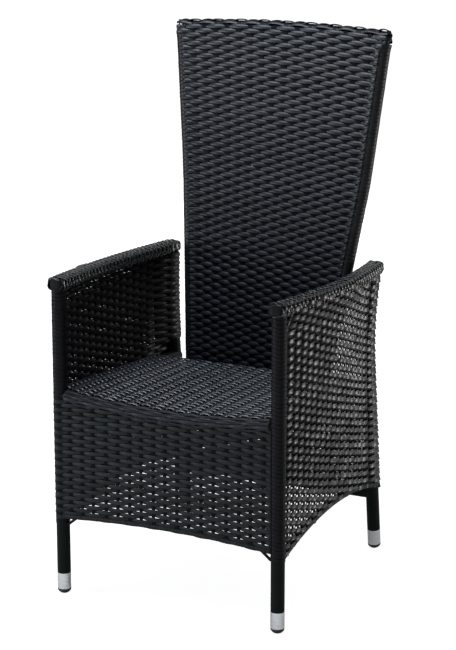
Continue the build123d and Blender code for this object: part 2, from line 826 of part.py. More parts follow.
# Gas spring: its eye swings below the pivot, as far behind it at rest as before it at the limit
half_swing = radians(recline_limit / 2)
gas_pin_y = hinge_y + gas_lever_radius * sin(half_swing)
gas_pin_z = hinge_z - gas_lever_radius * cos(half_swing)
gas_z = hinge_z - gas_lever_radius * (1 + cos(half_swing)) / 2
gas_stroke = 2 * gas_lever_radius * sin(half_swing)
gas_cylinder_rear = gas_pin_y - gas_neck_length
gas_cylinder_front = gas_cylinder_rear - gas_cylinder_length
gas_bore = gas_cylinder_diameter - 2 * gas_cylinder_wall


def cylinder_along(y_from, y_to, z, diameter):
    """A round bar under the middle of the seat that runs from front to rear."""
    middle = (y_from + y_to) / 2
    bar = Cylinder(diameter / 2, abs(y_to - y_from), rotation=(90, 0, 0))
    return Pos(0, middle, z) * bar


def make_gas_cylinder():
    """The spring's cylinder with its closed rear end, neck and eye, and its gland."""
    body = cylinder_along(gas_cylinder_front, gas_cylinder_rear, gas_z, gas_cylinder_diameter)
    body -= cylinder_along(gas_cylinder_front, gas_cylinder_rear - gas_cylinder_end, gas_z,
                           gas_bore)
    neck = cylinder_along(gas_cylinder_rear, gas_pin_y, gas_z, gas_neck_diameter)
    eye = cylinder_across(-gas_eye_width / 2, gas_eye_width / 2, gas_pin_y, gas_z,
                          gas_eye_diameter)
    hole = cylinder_across(-gas_eye_width, gas_eye_width, gas_pin_y, gas_z,
                           bolt_diameter + 2 * gas_eye_play)
    gland = cylinder_along(gas_cylinder_front, gas_cylinder_front + gas_gland_length, gas_z,
                           gas_bore)
    gland -= cylinder_along(gas_cylinder_front, gas_cylinder_front + gas_gland_length, gas_z,
                            gas_rod_diameter + 2 * gas_rod_clearance)
    return main_solid(body + neck + eye - hole), main_solid(gland)


parts["gas_cylinder"], parts["gas_gland"] = make_gas_cylinder()


def make_lever_plates():
    """The two plates under the back that hold the spring's eye, with the clevis pin and clip."""
    tube_end = back_axis_at(back_lower_tube_z)
    outline = lobed_link((tube_end.Y, tube_end.Z), lever_tube_lobe,
                         (gas_pin_y, gas_pin_z), lever_pin_lobe)
    outline -= Pos(gas_pin_y, gas_pin_z) * Circle(bolt_diameter / 2)
    outline -= Pos(tube_end.Y, tube_end.Z) * Circle(back_lower_tube_diameter / 2)
    plate = side_profile(lever_plate_gap, plate_thickness, outline)
    plate -= parts["back_weave"]
    outer = lever_plate_gap + plate_thickness
    pin = cylinder_across(-outer - 2 * clevis_clip_thickness, outer, gas_pin_y, gas_pin_z,
                          bolt_diameter)
    pin += cylinder_across(outer, outer + clevis_head_height, gas_pin_y, gas_pin_z,
                           clevis_head_diameter)
    clip = cylinder_across(-outer - clevis_clip_thickness, -outer, gas_pin_y, gas_pin_z,
                           clevis_head_diameter)
    return main_solid(plate), main_solid(pin), main_solid(clip - pin)


lever_plate, clevis_pin, clevis_clip = make_lever_plates()
parts["gas_lever_plates"] = Compound([lever_plate, mirrored(lever_plate)])
parts["clevis_pin"] = clevis_pin
parts["clevis_clip"] = clevis_clip

# Release head
shaft_z = gas_z - finger_reach
head_rear_y = release_shaft_y - head_front + head_length
rod_start_y = head_rear_y - head_rod_seat
slot_rear_y = release_shaft_y - head_front + head_slot_depth
pin_front_y = release_shaft_y + finger_nose_radius + release_pin_gap
head_bolt_y = head_rear_y - head_bolt_from_rear
head_bolt_z = gas_z + head_bolt_above_rod
piston_y = gas_cylinder_front + gas_gland_length + gas_piston_setback


def make_gas_rod():
    """The spring's hollow rod with its piston inside the cylinder, held in the head."""
    rod = cylinder_along(rod_start_y, piston_y, gas_z, gas_rod_diameter)
    rod += cylinder_along(piston_y - gas_piston_length, piston_y, gas_z,
                          gas_bore - 2 * gas_piston_clearance)
    bore_end = pin_front_y + release_pin_length + 2 * release_travel
    rod -= cylinder_along(rod_start_y, bore_end, gas_z,
                          release_pin_diameter + 2 * release_pin_clearance)
    return main_solid(rod)


def make_release_head():
    """The block on the rod's front end, slotted for the release finger."""
    bottom = shaft_z - head_below_shaft
    height = gas_z + head_above_rod - bottom
    low = (Align.CENTER, Align.MIN, Align.MIN)
    front_y = release_shaft_y - head_front
    block = Pos(0, front_y, bottom) * Box(head_width, head_length, height, align=low)
    block = fillet(block.edges().filter_by(Axis.X), head_fillet)
    slot_width = finger_width + 2 * head_slot_side_gap
    slot_height = gas_z + head_slot_above_rod - bottom
    slot = Pos(0, front_y, bottom) * Box(slot_width, head_slot_depth, slot_height, align=low)
    block -= slot
    block -= cylinder_across(-head_width, head_width, release_shaft_y, shaft_z,
                             shaft_diameter + 2 * shaft_clearance)
    block -= cylinder_along(front_y, rod_start_y, gas_z,
                            release_pin_diameter + 2 * release_pin_clearance)
    block -= cylinder_along(rod_start_y, head_rear_y, gas_z, gas_rod_diameter)
    block -= cylinder_across(-head_width, head_width, head_bolt_y, head_bolt_z, bolt_diameter)
    return main_solid(block)


def make_gas_bracket():
    """The U-shaped bracket that hangs the head from the cross rail, with its bolt and nut."""
    rail = cross_rail_path @ 0
    outline = lobed_link((rail.Y, rail.Z), bracket_rail_lobe,
                         (head_bolt_y, head_bolt_z), bracket_bolt_lobe)
    outline -= Pos(rail.Y, rail.Z) * Circle(cross_rail_diameter / 2)
    outline -= Pos(head_bolt_y, head_bolt_z) * Circle(bolt_diameter / 2)
    cheek = side_profile(head_width / 2, plate_thickness, outline)
    web_z = gas_z + head_above_rod + bracket_web_lift
    web = Pos(0, head_bolt_y - bolt_diameter, web_z) * Box(
        head_width, plate_thickness, bracket_web_height,
        align=(Align.CENTER, Align.CENTER, Align.MIN),
    )
    outer = head_width / 2 + plate_thickness
    bolt = cylinder_across(-outer - nut_height - bolt_tail, outer, head_bolt_y, head_bolt_z,
                           bolt_diameter)
    bolt += hexagon_across(outer, bolt_head_height, head_bolt_y, head_bolt_z, bolt_head_width)
    nut = hexagon_across(-outer - nut_height, nut_height, head_bolt_y, head_bolt_z,
                         bolt_head_width)
    return main_solid(cheek + web + mirrored(cheek)), main_solid(bolt), main_solid(nut - bolt)


parts["gas_rod"] = make_gas_rod()
parts["gas_release_head"] = make_release_head()
parts["gas_bracket"], parts["gas_front_bolt"], parts["gas_front_nut"] = make_gas_bracket()
parts["release_pin"] = cylinder_along(
    pin_front_y, pin_front_y + release_pin_length, gas_z, release_pin_diameter
)


def panel_outer_x():
    """The outer face of the right side panel where the release shaft passes it."""
    probe = cylinder_across(rear_post_x - overrun, front_post_x + overrun, release_shaft_y,
                            shaft_z, shaft_diameter)
    return (side_panel & probe).bounding_box().max.X


def make_release_lever():
    """The shaft with its side lever, the finger on it, the plastic grip and the bearings."""
    wall_x = panel_outer_x()
    lever_x = wall_x + lever_panel_gap + (grip_thickness - lever_thickness) / 2
    tip_y = release_shaft_y - lever_length
    tip_z = shaft_z + lever_rise
    shaft = cylinder_across(-lever_x - lever_thickness, head_width / 2 + shaft_tail,
                            release_shaft_y, shaft_z, shaft_diameter)
    arm = side_profile(-lever_x - lever_thickness, lever_thickness,
                       lobed_link((release_shaft_y, shaft_z), lever_hub_radius,
                                  (tip_y, tip_z), lever_end_radius))
    share = grip_overlap / lever_length
    grip_rear = (tip_y + grip_overlap, tip_z - lever_rise * share)
    grip_front = (tip_y - grip_length + grip_overlap, tip_z)
    grip = side_profile(-lever_x - (grip_thickness + lever_thickness) / 2, grip_thickness,
                        lobed_link(grip_rear, grip_radius, grip_front, grip_radius))
    grip = chamfer(grip.faces().filter_by(Axis.X).edges(), grip_bevel)
    hub = Pos(release_shaft_y, shaft_z) * Circle(finger_hub_diameter / 2)
    nose = Pos(release_shaft_y, gas_z) * Circle(finger_nose_radius)
    finger = side_profile(-finger_width / 2, finger_width, make_hull((hub + nose).edges()))
    finger -= cylinder_across(-head_width, head_width, release_shaft_y, shaft_z, shaft_diameter)
    return main_solid(shaft + arm), main_solid(grip - arm), main_solid(finger), wall_x


release_shaft, release_grip, release_finger, right_wall_x = make_release_lever()
parts["release_shaft"] = release_shaft
parts["release_grip"] = release_grip
parts["release_finger"] = release_finger


def make_lever_bearings():
    """The plate that carries the shaft's outer end, and the grommet in the woven side."""
    rail = cross_rail_path @ 1
    outline = lobed_link((rail.Y, rail.Z), lever_bracket_root,
                         (release_shaft_y, shaft_z), lever_bracket_eye)
    outline -= Pos(rail.Y, rail.Z) * Circle(cross_rail_diameter / 2)
    outline -= Pos(release_shaft_y, shaft_z) * Circle(shaft_diameter / 2 + shaft_clearance)
    plate = side_profile(lever_bracket_inset - rail.X, plate_thickness, outline)
    reach = weave_thickness + grommet_flange_thickness
    ring = cylinder_across(-right_wall_x - grommet_flange_thickness, -right_wall_x + reach,
                           release_shaft_y, shaft_z, grommet_diameter)
    ring += cylinder_across(-right_wall_x - grommet_flange_thickness, -right_wall_x,
                            release_shaft_y, shaft_z, grommet_flange_diameter)
    ring -= cylinder_across(-right_wall_x - overrun, -right_wall_x + overrun, release_shaft_y,
                            shaft_z, shaft_diameter + 2 * grommet_shaft_gap)
    return main_solid(plate), ring


lever_bracket, grommet = make_lever_bearings()
parts["lever_bracket"] = lever_bracket
parts["side_panel_left"] = side_panel
right_panel = mirrored(side_panel) - cylinder_across(
    -right_wall_x - overrun, -right_wall_x + overrun, release_shaft_y, shaft_z, grommet_diameter
)
right_panel -= cylinder_across(
    -right_wall_x - overrun, -right_wall_x, release_shaft_y, shaft_z, grommet_flange_diameter
)
parts["side_panel_right"] = main_solid(right_panel)
parts["lever_grommet"] = main_solid(grommet - parts["side_panel_right"])

# The middle of the footprint, from the arms' front ends to the back's top rear edge
rear_most_y = parts["back_edge_wrap_left"].bounding_box().max.Y
front_most_y = parts["arm_wrap_left"].bounding_box().min.Y
to_middle = Pos(0, -(front_most_y + rear_most_y) / 2, 0)

os.makedirs("parts", exist_ok=True)
for node, shape in parts.items():
    export_step(to_middle * shape, os.path.join("parts", node + ".step"))
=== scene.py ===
import bpy
import math
import numpy as np
from mathutils import Matrix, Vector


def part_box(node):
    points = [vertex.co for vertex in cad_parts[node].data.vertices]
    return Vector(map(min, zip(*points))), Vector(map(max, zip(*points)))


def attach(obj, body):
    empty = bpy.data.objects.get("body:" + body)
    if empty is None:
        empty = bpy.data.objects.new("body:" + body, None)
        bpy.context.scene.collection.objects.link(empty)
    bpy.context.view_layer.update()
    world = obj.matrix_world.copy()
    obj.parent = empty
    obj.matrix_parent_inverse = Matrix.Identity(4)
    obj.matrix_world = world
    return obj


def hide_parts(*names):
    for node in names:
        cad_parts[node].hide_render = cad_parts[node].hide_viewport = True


# Lengths are in millimetres, with y measured from the front posts, as the part's source has
# them. put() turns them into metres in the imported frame.
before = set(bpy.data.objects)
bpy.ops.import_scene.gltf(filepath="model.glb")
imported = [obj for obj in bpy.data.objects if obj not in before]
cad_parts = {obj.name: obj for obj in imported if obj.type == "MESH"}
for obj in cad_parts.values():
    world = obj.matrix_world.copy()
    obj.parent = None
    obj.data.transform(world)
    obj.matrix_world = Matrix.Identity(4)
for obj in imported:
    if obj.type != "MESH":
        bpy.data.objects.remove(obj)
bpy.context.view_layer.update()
post_low, post_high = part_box("front_post_left")
SHIFT_Y = -500.0 * (post_low.y + post_high.y)
SEED = 7

# Posts and rails: axes of the tubes
POST_X = 243.5
REAR_X = 232.0
REAR_FOOT_Y = 531.0
KNEE_Y = 470.7
KNEE_Z = 440.0
REAR_TOP = (239.3, 480.0, 639.0)
RAIL_END_Z = 427.5
RAIL_MIDDLE_Z = 412.5
REAR_RAIL_Y = 384.0
REAR_RAIL_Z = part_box("seat_rear_rail")[1].z * 1000.0 - 12.5

# Lower edges of the front skirt and of the side panels
SKIRT_END_Z = 165.0
SKIRT_MIDDLE_Z = 176.5
ARCH_END_Z = 147.0
ARCH_MIDDLE_Z = 185.0
ARCH_MIDDLE_Y = 249.6

# The back's side tube: hinge, bend and top corner of its axis
HINGE = (150.8, 408.4, 380.0)
BEND = (203.2, 502.0, 815.0)
CORNER = (233.1, 532.5, 1117.0)
BEND_RADIUS = 950.0
BACK_FOOT_Z = 352.0
BACK_CROWN = 8.5
SHEET_FRONT = 10.5
TOP_RADIUS = 12.6

# A strip's section, from edge to edge over its front and back behind it
RING_SIDES = np.array([-1.0, -0.8, -0.35, 0.35, 0.8, 1.0, 0.62, -0.62])
RING_RISE = np.array([(1.0 - a * a) for a in RING_SIDES[:6]] + [0.0, 0.0])
RING_BACK = np.array([0.0, 0.0, 0.0, 0.0, 0.0, 0.0, -1.0, -1.0])
RING_SIZE = len(RING_SIDES)
SHORTEST_STRIP = 6.0

rng = np.random.default_rng(SEED)


def put(points):
    """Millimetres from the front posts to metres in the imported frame."""
    points = np.array(points, float)
    points[..., 1] -= SHIFT_Y
    return points * 0.001


def unit(vectors):
    """Vectors at length one."""
    return vectors / np.maximum(np.linalg.norm(vectors, axis=-1, keepdims=True), 1e-12)


def smooth(x):
    """An even step from 0 to 1."""
    x = np.clip(x, 0.0, 1.0)
    return x * x * (3.0 - 2.0 * x)


def run_along(path):
    """How far along a path each of its points is."""
    return np.concatenate([[0.0], np.cumsum(np.linalg.norm(np.diff(path, axis=0), axis=1))])


def bent(start, middle, end, share):
    """A point of the curve that leaves start towards middle and bends to end."""
    return (1 - share) ** 2 * start + 2 * share * (1 - share) * middle + share ** 2 * end


class Strips:
    """Collects strips and writes them as one mesh."""

    def __init__(self):
        self.points, self.quads, self.uvs, self.tones = [], [], [], []
        self.count = 0

    def add(self, centre, normal, width, crown, thickness, tilt=0.0, tone=None, lean=0.0):
        """One strip along a line of points: convex towards its normal, flat behind.

        Its edges are drawn apart along it by twice the lean.
        """
        steps = len(centre)
        along = unit(np.gradient(centre, axis=0))
        across = unit(np.cross(along, normal))
        normal = unit(np.cross(across, along))
        tilt = np.broadcast_to(tilt, (steps,))[:, None]
        across, normal = (across * np.cos(tilt) + normal * np.sin(tilt),
                          normal * np.cos(tilt) - across * np.sin(tilt))
        width = np.broadcast_to(width, (steps,))[:, None, None]
        sides = RING_SIDES[None, :, None]
        ring = (centre[:, None, :]
                + across[:, None, :] * (sides * width * 0.5)
                + along[:, None, :] * (sides * lean)
                + normal[:, None, :] * (RING_RISE[None, :, None] * crown
                                        + RING_BACK[None, :, None] * thickness))
        index = np.arange(steps * RING_SIZE).reshape(steps, RING_SIZE) + self.count
        a, b = index[:-1], index[1:]
        body = np.stack([a, b, np.roll(b, -1, axis=1), np.roll(a, -1, axis=1)], axis=-1)
        first, last = index[0], index[-1]
        caps = []
        for low, high in ((0, 7), (1, 6), (2, 5)):
            far = high - 1
            caps.append([first[low], first[low + 1], first[far], first[high]])
            caps.append([last[high], last[far], last[low + 1], last[low]])
        self.quads.append(np.concatenate([body.reshape(-1, 4), np.array(caps)]))
        self.points.append(ring.reshape(-1, 3))
        uv = np.empty((steps, RING_SIZE, 2))
        uv[..., 0] = run_along(centre)[:, None] * 0.001
        uv[..., 1] = (RING_SIDES[None, :] * 0.5 + 0.5) * 0.008
        self.uvs.append(uv.reshape(-1, 2))
        value = rng.random() if tone is None else tone
        self.tones.append(np.full(steps * RING_SIZE, value))
        self.count += steps * RING_SIZE

    def write(self, name, body, slot, material, *nodes):
        """The strips as one object that rides on a body and stands for CAD nodes."""
        points = put(np.concatenate(self.points))
        quads = np.concatenate(self.quads)
        mesh = bpy.data.meshes.new(name)
        mesh.vertices.add(len(points))
        mesh.vertices.foreach_set("co", points.astype(np.float32).ravel())
        mesh.loops.add(quads.size)
        mesh.loops.foreach_set("vertex_index", quads.astype(np.int32).ravel())
        mesh.polygons.add(len(quads))
        mesh.polygons.foreach_set("loop_start", np.arange(0, quads.size, 4, dtype=np.int32))
        mesh.polygons.foreach_set("use_smooth", np.ones(len(quads), bool))
        layer = mesh.uv_layers.new(name="UVMap")
        uv = np.concatenate(self.uvs)[quads.ravel()]
        layer.data.foreach_set("uv", uv.astype(np.float32).ravel())
        tone = mesh.attributes.new("tone", "FLOAT", "POINT")
        tone.data.foreach_set("value", np.concatenate(self.tones).astype(np.float32))
        mesh.update(calc_edges=True)
        mesh.validate()
        mesh.materials.append(material)
        piece = bpy.data.objects.new(name, mesh)
        bpy.context.scene.collection.objects.link(piece)
        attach(piece, body)
        if nodes:
            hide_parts(*nodes)


def weave_rows(strips, rows, extent, surface, stake_at, look):
    """Weft strips: each row passes in front of every other stake and behind the rest."""
    for number, level in rows:
        for start, end in extent(level):
            if end - start < SHORTEST_STRIP:
                continue
            steps = max(4, int((end - start) / look["step"]) + 1)
            u = np.linspace(start, end, steps)
            stake = stake_at(u, level)
            knots = np.arange(int(stake.min()) - 2, int(stake.max()) + 4)
            vary = rng.normal(0.0, 1.0, (4, len(knots)))
            amount = 1.0 + look["uneven"] * np.interp(stake, knots, vary[0])
            drift = look["drift"] * np.interp(stake, knots, vary[1])
            tilt = look["tilt"] + look["twist"] * np.interp(stake, knots, vary[2])
            phase = np.cos(math.pi * (stake + number))
            wave = np.tanh(look["sharp"] * phase) / math.tanh(look["sharp"])
            ends = smooth((u - start) / look["tuck"]) * smooth((end - u) / look["tuck"])
            if "calm" in look:
                ends = ends * look["calm"](u, level)
            point, normal = surface(u, level + drift)
            centre = point + normal * (look["amplitude"] * wave * amount * ends)[:, None]
            swell = look["swell"] * np.clip(phase, 0.0, 1.0) ** 2
            pinch = look["pinch"] * np.clip(-phase, 0.0, 1.0) ** look.get("narrow", 3.0)
            width = look["width"] * (1.0 + 0.02 * vary[3, 0]) + swell - pinch
            strips.add(centre, normal, width, look["crown"], look["thickness"], tilt,
                       lean=look.get("lean", 0.0))


def weave_stakes(strips, stakes, extent, surface, place, width):
    """Warp strips, which run up between the weft strips."""
    for number in stakes:
        for start, end in extent(number):
            if end - start < SHORTEST_STRIP:
                continue
            steps = max(4, int((end - start) / 6.0) + 1)
            points, normals = [], []
            for level in np.linspace(start, end, steps):
                point, normal = surface(np.array([place(number, level)]), level)
                points.append(point[0])
                normals.append(normal[0])
            # a tone under 0 gives the stakes the darkest colour and little sheen: painted shade
            # where they lie back in the weave
            strips.add(np.array(points), np.array(normals), width, 0.4, 1.0, tone=-0.85)


def wrap_round(strips, path, radius, pitch, width, segments=16, up=(0.0, 1.0, 0.0), crown=0.45,
               wander=0.0):
    """One strip wound round a path, which is a list of points."""
    path = np.array(path, float)
    run = run_along(path)
    turns = run[-1] / pitch
    s = np.linspace(0.0, run[-1], int(turns * segments) + 1)
    centre = np.stack([np.interp(s, run, path[:, i]) for i in range(3)], axis=1)
    tangent = unit(np.gradient(centre, axis=0))
    side = unit(np.cross(tangent, np.array(up)))
    front = np.cross(side, tangent)
    angle = 2.0 * math.pi * (s / pitch)
    radial = side * np.cos(angle)[:, None] + front * np.sin(angle)[:, None]
    turn_no = np.arange(int(turns) + 3)
    vary = rng.normal(0.0, 1.0, (2, len(turn_no)))
    lift = radius + 0.12 * np.interp(s / pitch, turn_no, vary[0])
    slide = wander * np.interp(s / pitch, turn_no, vary[1])
    points = centre + radial * lift[:, None] + tangent * slide[:, None]
    strips.add(points, radial, width, crown, 0.5)
    # one strip, but each of its turns has a tone of its own
    tones = np.interp(s / pitch, turn_no, rng.random(len(turn_no)))
    strips.tones[-1] = np.repeat(tones, RING_SIZE)


# Materials
def new_material(name):
    """An empty node material with its shader."""
    material = bpy.data.materials.new(name)
    material.use_nodes = True
    nodes = material.node_tree.nodes
    return material, nodes, material.node_tree.links, nodes["Principled BSDF"]


def add_node(nodes, kind, values=None, operation=None):
    """A shader node with values on its inputs."""
    node = nodes.new(kind)
    if operation is not None:
        node.operation = operation
    for key, value in (values or {}).items():
        node.inputs[key].default_value = value
    return node


def map_range(nodes, links, source, low, high):
    """A socket's value on another scale: low and high each say from what and to what."""
    node = add_node(nodes, "ShaderNodeMapRange", {"From Min": low[0], "From Max": high[0],
                                                  "To Min": low[1], "To Max": high[1]})
    links.new(source, node.inputs["Value"])
    return node.outputs["Result"]


def multiply(nodes, links, first, second):
    """The product of two sockets, or of a socket and a number."""
    node = add_node(nodes, "ShaderNodeMath", operation="MULTIPLY")
    links.new(first, node.inputs[0])
    if isinstance(second, float):
        node.inputs[1].default_value = second
    else:
        links.new(second, node.inputs[1])
    return node.outputs[0]


def ramp_between(nodes, links, factor, low, high):
    """A colour ramp between two ends, each a position and a colour."""
    ramp = nodes.new("ShaderNodeValToRGB")
    for element, (position, colour) in zip(ramp.color_ramp.elements, (low, high)):
        element.position = position
        element.color = (*colour, 1.0)
    links.new(factor, ramp.inputs["Fac"])
    return ramp.outputs["Color"]


def add_bump(nodes, links, shader, height, strength, distance):
    """Fine relief on a shader."""
    bump = add_node(nodes, "ShaderNodeBump", {"Strength": strength, "Distance": distance})
    links.new(height, bump.inputs["Height"])
    links.new(bump.outputs["Normal"], shader.inputs["Normal"])


TONE_WEIGHT = 0.55


def strip_material(name, dark, light, roughness, specular, height_shade=None):
    """Extruded plastic strip: tone varies between strips, fine grooves, and painted shade that
    darkens the recesses and the stakes.

    With the last argument, which is a height and a share of the sheen low down and the same high
    up, the sheen fades towards the bottom as painted shade, and the strips nearer the top shine
    more.
    """
    material, nodes, links, shader = new_material(name)
    tone = nodes.new("ShaderNodeAttribute")
    tone.attribute_name = "tone"
    coordinate = nodes.new("ShaderNodeTexCoord")
    cloud = add_node(nodes, "ShaderNodeTexNoise", {"Scale": 38.0, "Detail": 3.0})
    links.new(coordinate.outputs["Object"], cloud.inputs["Vector"])
    mix = add_node(nodes, "ShaderNodeMath", {1: TONE_WEIGHT}, "MULTIPLY_ADD")
    links.new(tone.outputs["Fac"], mix.inputs[0])
    links.new(multiply(nodes, links, cloud.outputs["Fac"], 1.0 - TONE_WEIGHT), mix.inputs[2])
    colour = ramp_between(nodes, links, mix.outputs[0], (0.15, dark), (0.85, light))
    # painted shade: ambient occlusion darkens the colour in recesses and crevices
    painted_recess_shade = add_node(nodes, "ShaderNodeAmbientOcclusion", {"Distance": 0.007})
    painted_recess_shade.samples = 4
    links.new(colour, painted_recess_shade.inputs["Color"])
    links.new(painted_recess_shade.outputs["Color"], shader.inputs["Base Color"])
    # painted shade: the sheen is cut in recesses, and cut most on the stakes, whose tone is under
    # 0
    gloss = map_range(nodes, links, painted_recess_shade.outputs["AO"], (0.15, 0.02), (0.65, specular))
    painted_stake_shade = map_range(nodes, links, tone.outputs["Fac"], (-1.0, 0.0), (0.0, 1.0))
    sheen = multiply(nodes, links, gloss, painted_stake_shade)
    # painted shade: the sheen fades lower down, so the strips darken towards the bottom
    if height_shade is not None:
        height = nodes.new("ShaderNodeSeparateXYZ")
        links.new(coordinate.outputs["Object"], height.inputs["Vector"])
        painted_height_shade = map_range(nodes, links, height.outputs["Z"], height_shade[:2], height_shade[2:])
        sheen = multiply(nodes, links, sheen, painted_height_shade)
    links.new(sheen, shader.inputs["Specular IOR Level"])
    links.new(map_range(nodes, links, cloud.outputs["Fac"], (0.0, roughness - 0.06),
                        (1.0, roughness + 0.08)), shader.inputs["Roughness"])
    stretch = add_node(nodes, "ShaderNodeMapping", {"Scale": (60.0, 2600.0, 1.0)})
    links.new(coordinate.outputs["UV"], stretch.inputs["Vector"])
    groove = add_node(nodes, "ShaderNodeTexNoise", {"Scale": 1.0, "Detail": 2.0})
    links.new(stretch.outputs["Vector"], groove.inputs["Vector"])
    add_bump(nodes, links, shader, groove.outputs["Fac"], 0.35, 0.0003)
    return material


def plain_material(name, colour, vary, roughness, metallic=0.0, scale=60.0, grain=(1.0, 1.0, 1.0),
                   bump_height=0.0001, specular=0.5):
    """A coated, moulded or plated surface with mottling, fine bump and uneven gloss."""
    material, nodes, links, shader = new_material(name)
    coordinate = nodes.new("ShaderNodeTexCoord")
    stretch = add_node(nodes, "ShaderNodeMapping", {"Scale": grain})
    links.new(coordinate.outputs["Object"], stretch.inputs["Vector"])
    cloud = add_node(nodes, "ShaderNodeTexNoise", {"Scale": scale, "Detail": 4.0})
    links.new(stretch.outputs["Vector"], cloud.inputs["Vector"])
    links.new(ramp_between(nodes, links, cloud.outputs["Fac"],
                           (0.3, [c * (1.0 - vary) for c in colour]),
                           (0.7, [min(1.0, c * (1.0 + vary)) for c in colour])),
              shader.inputs["Base Color"])
    links.new(map_range(nodes, links, cloud.outputs["Fac"], (0.0, roughness * 0.85),
                        (1.0, roughness * 1.2)), shader.inputs["Roughness"])
    fine = add_node(nodes, "ShaderNodeTexNoise", {"Scale": scale * 14.0})
    links.new(stretch.outputs["Vector"], fine.inputs["Vector"])
    add_bump(nodes, links, shader, fine.outputs["Fac"], 0.3, bump_height)
    shader.inputs["Metallic"].default_value = metallic
    shader.inputs["Specular IOR Level"].default_value = specular
    return material


# the back's sheen fades towards its bottom: painted shade
woven = strip_material("woven_back", (0.0060, 0.0072, 0.0105), (0.015, 0.0175, 0.025), 0.40, 0.52,
                       height_shade=(0.45, 0.12, 1.06, 1.0))
woven_side = strip_material("woven_side", (0.0050, 0.0047, 0.0055), (0.013, 0.0122, 0.0135), 0.30,
                            0.5)
woven_skirt = strip_material("woven_skirt", (0.0070, 0.0091, 0.0100), (0.014, 0.0175, 0.0192),
                             0.52, 0.22)
# painted shade: the copy for the panel seen from inside, a little darker and with less sheen than
# woven_side
woven_side_inner_shaded = strip_material("woven_side_inner_shaded", (0.0050, 0.0047, 0.0055),
                                  (0.012, 0.0112, 0.0125), 0.42, 0.3)
woven_roll = strip_material("woven_roll", (0.0075, 0.0090, 0.0130), (0.017, 0.0200, 0.0280), 0.45,
                            0.3)
# painted light: the seat's copy of the weave is lighter and shinier than the back's, to brighten
# the seat and its highlights
woven_seat_lit = strip_material("woven_seat_lit", (0.0110, 0.0132, 0.0190), (0.028, 0.0330, 0.0450), 0.28,
                            0.9)
wrapped = strip_material("wrap_strip", (0.0030, 0.0028, 0.0036), (0.0060, 0.0056, 0.0070), 0.5,
                         0.14)
wrapped_edge = strip_material("wrap_edge", (0.0045, 0.0048, 0.0055), (0.009, 0.0096, 0.0105), 0.42,
                              0.3)
wrapped_arm = strip_material("wrap_arm", (0.0055, 0.0062, 0.0068), (0.013, 0.0145, 0.0155), 0.24,
                             0.9)

SLOT_MATERIALS = {
    "black_frame": plain_material("black_frame", (0.0045, 0.0055, 0.0052), 0.25, 0.45,
                                  specular=0.1),
    "bright_ferrule": plain_material("bright_ferrule", (0.95, 0.955, 0.96), 0.04, 0.26,
                                     metallic=1.0, scale=30.0, grain=(1.0, 1.0, 12.0),
                                     bump_height=0.00004),
    "black_rubber": plain_material("black_rubber", (0.014, 0.014, 0.014), 0.3, 0.62),
    "zinc_steel": plain_material("zinc_steel", (0.55, 0.56, 0.58), 0.12, 0.34, metallic=1.0),
    "gas_black": plain_material("gas_black", (0.010, 0.010, 0.011), 0.2, 0.28),
    "black_plastic": plain_material("black_plastic", (0.016, 0.016, 0.017), 0.25, 0.5),
    "woven_strip": woven,
    "wrap_strip": wrapped,
}
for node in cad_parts.values():
    for place in node.material_slots:
        base = place.material.name.split(".")[0] if place.material else ""
        if base in SLOT_MATERIALS:
            place.material = SLOT_MATERIALS[base]


# The back: its profile in the side view, bent at the middle
def profile_points():
    """The tube axis in the side view, with its bend rounded."""
    hinge, bend, top = (np.array(place[1:]) for place in (HINGE, BEND, CORNER))
    foot = hinge + (bend - hinge) * ((BACK_FOOT_Z - HINGE[2]) / (BEND[2] - HINGE[2]))
    before = unit(bend - foot)
    after = unit(top - bend)
    turn = math.acos(float(before @ after))
    reach = BEND_RADIUS * math.tan(turn / 2.0)
    curve = [bent(bend - before * reach, bend, bend + after * reach, share)
             for share in np.linspace(0.0, 1.0, 13)]
    return np.array([foot] + curve + [top])


PROFILE = profile_points()
PROFILE_RUN = run_along(PROFILE)
BACK_TOP = PROFILE_RUN[-1]
BACK_INTERVALS = 17
BACK_PITCH = 8.9
BACK_LOOK = dict(step=4.6, uneven=0.12, drift=0.18, tilt=0.2, twist=0.07, sharp=1.3, tuck=10.0,
                 amplitude=2.3, swell=1.1, pinch=0.2, width=9.8, crown=2.2, thickness=0.9)
BACK_STAKE_WIDTH = 14.0
# below this height the rows keep between the hinges
HINGE_ROWS_Z = 406.0
HINGE_ROWS_HALF = 113.0
CORNER_REACH = 30.0


def back_half_width(z):
    """The side tube's axis at a height."""
    return np.interp(z, [HINGE[2], BEND[2], CORNER[2]], [HINGE[0], BEND[0], CORNER[0]],
                     left=HINGE[0] - 4.0)


def profile_at(run):
    """The tube axis's y and z at a run."""
    run = np.clip(run, 0.0, BACK_TOP)
    return np.interp(run, PROFILE_RUN, PROFILE[:, 0]), np.interp(run, PROFILE_RUN, PROFILE[:, 1])


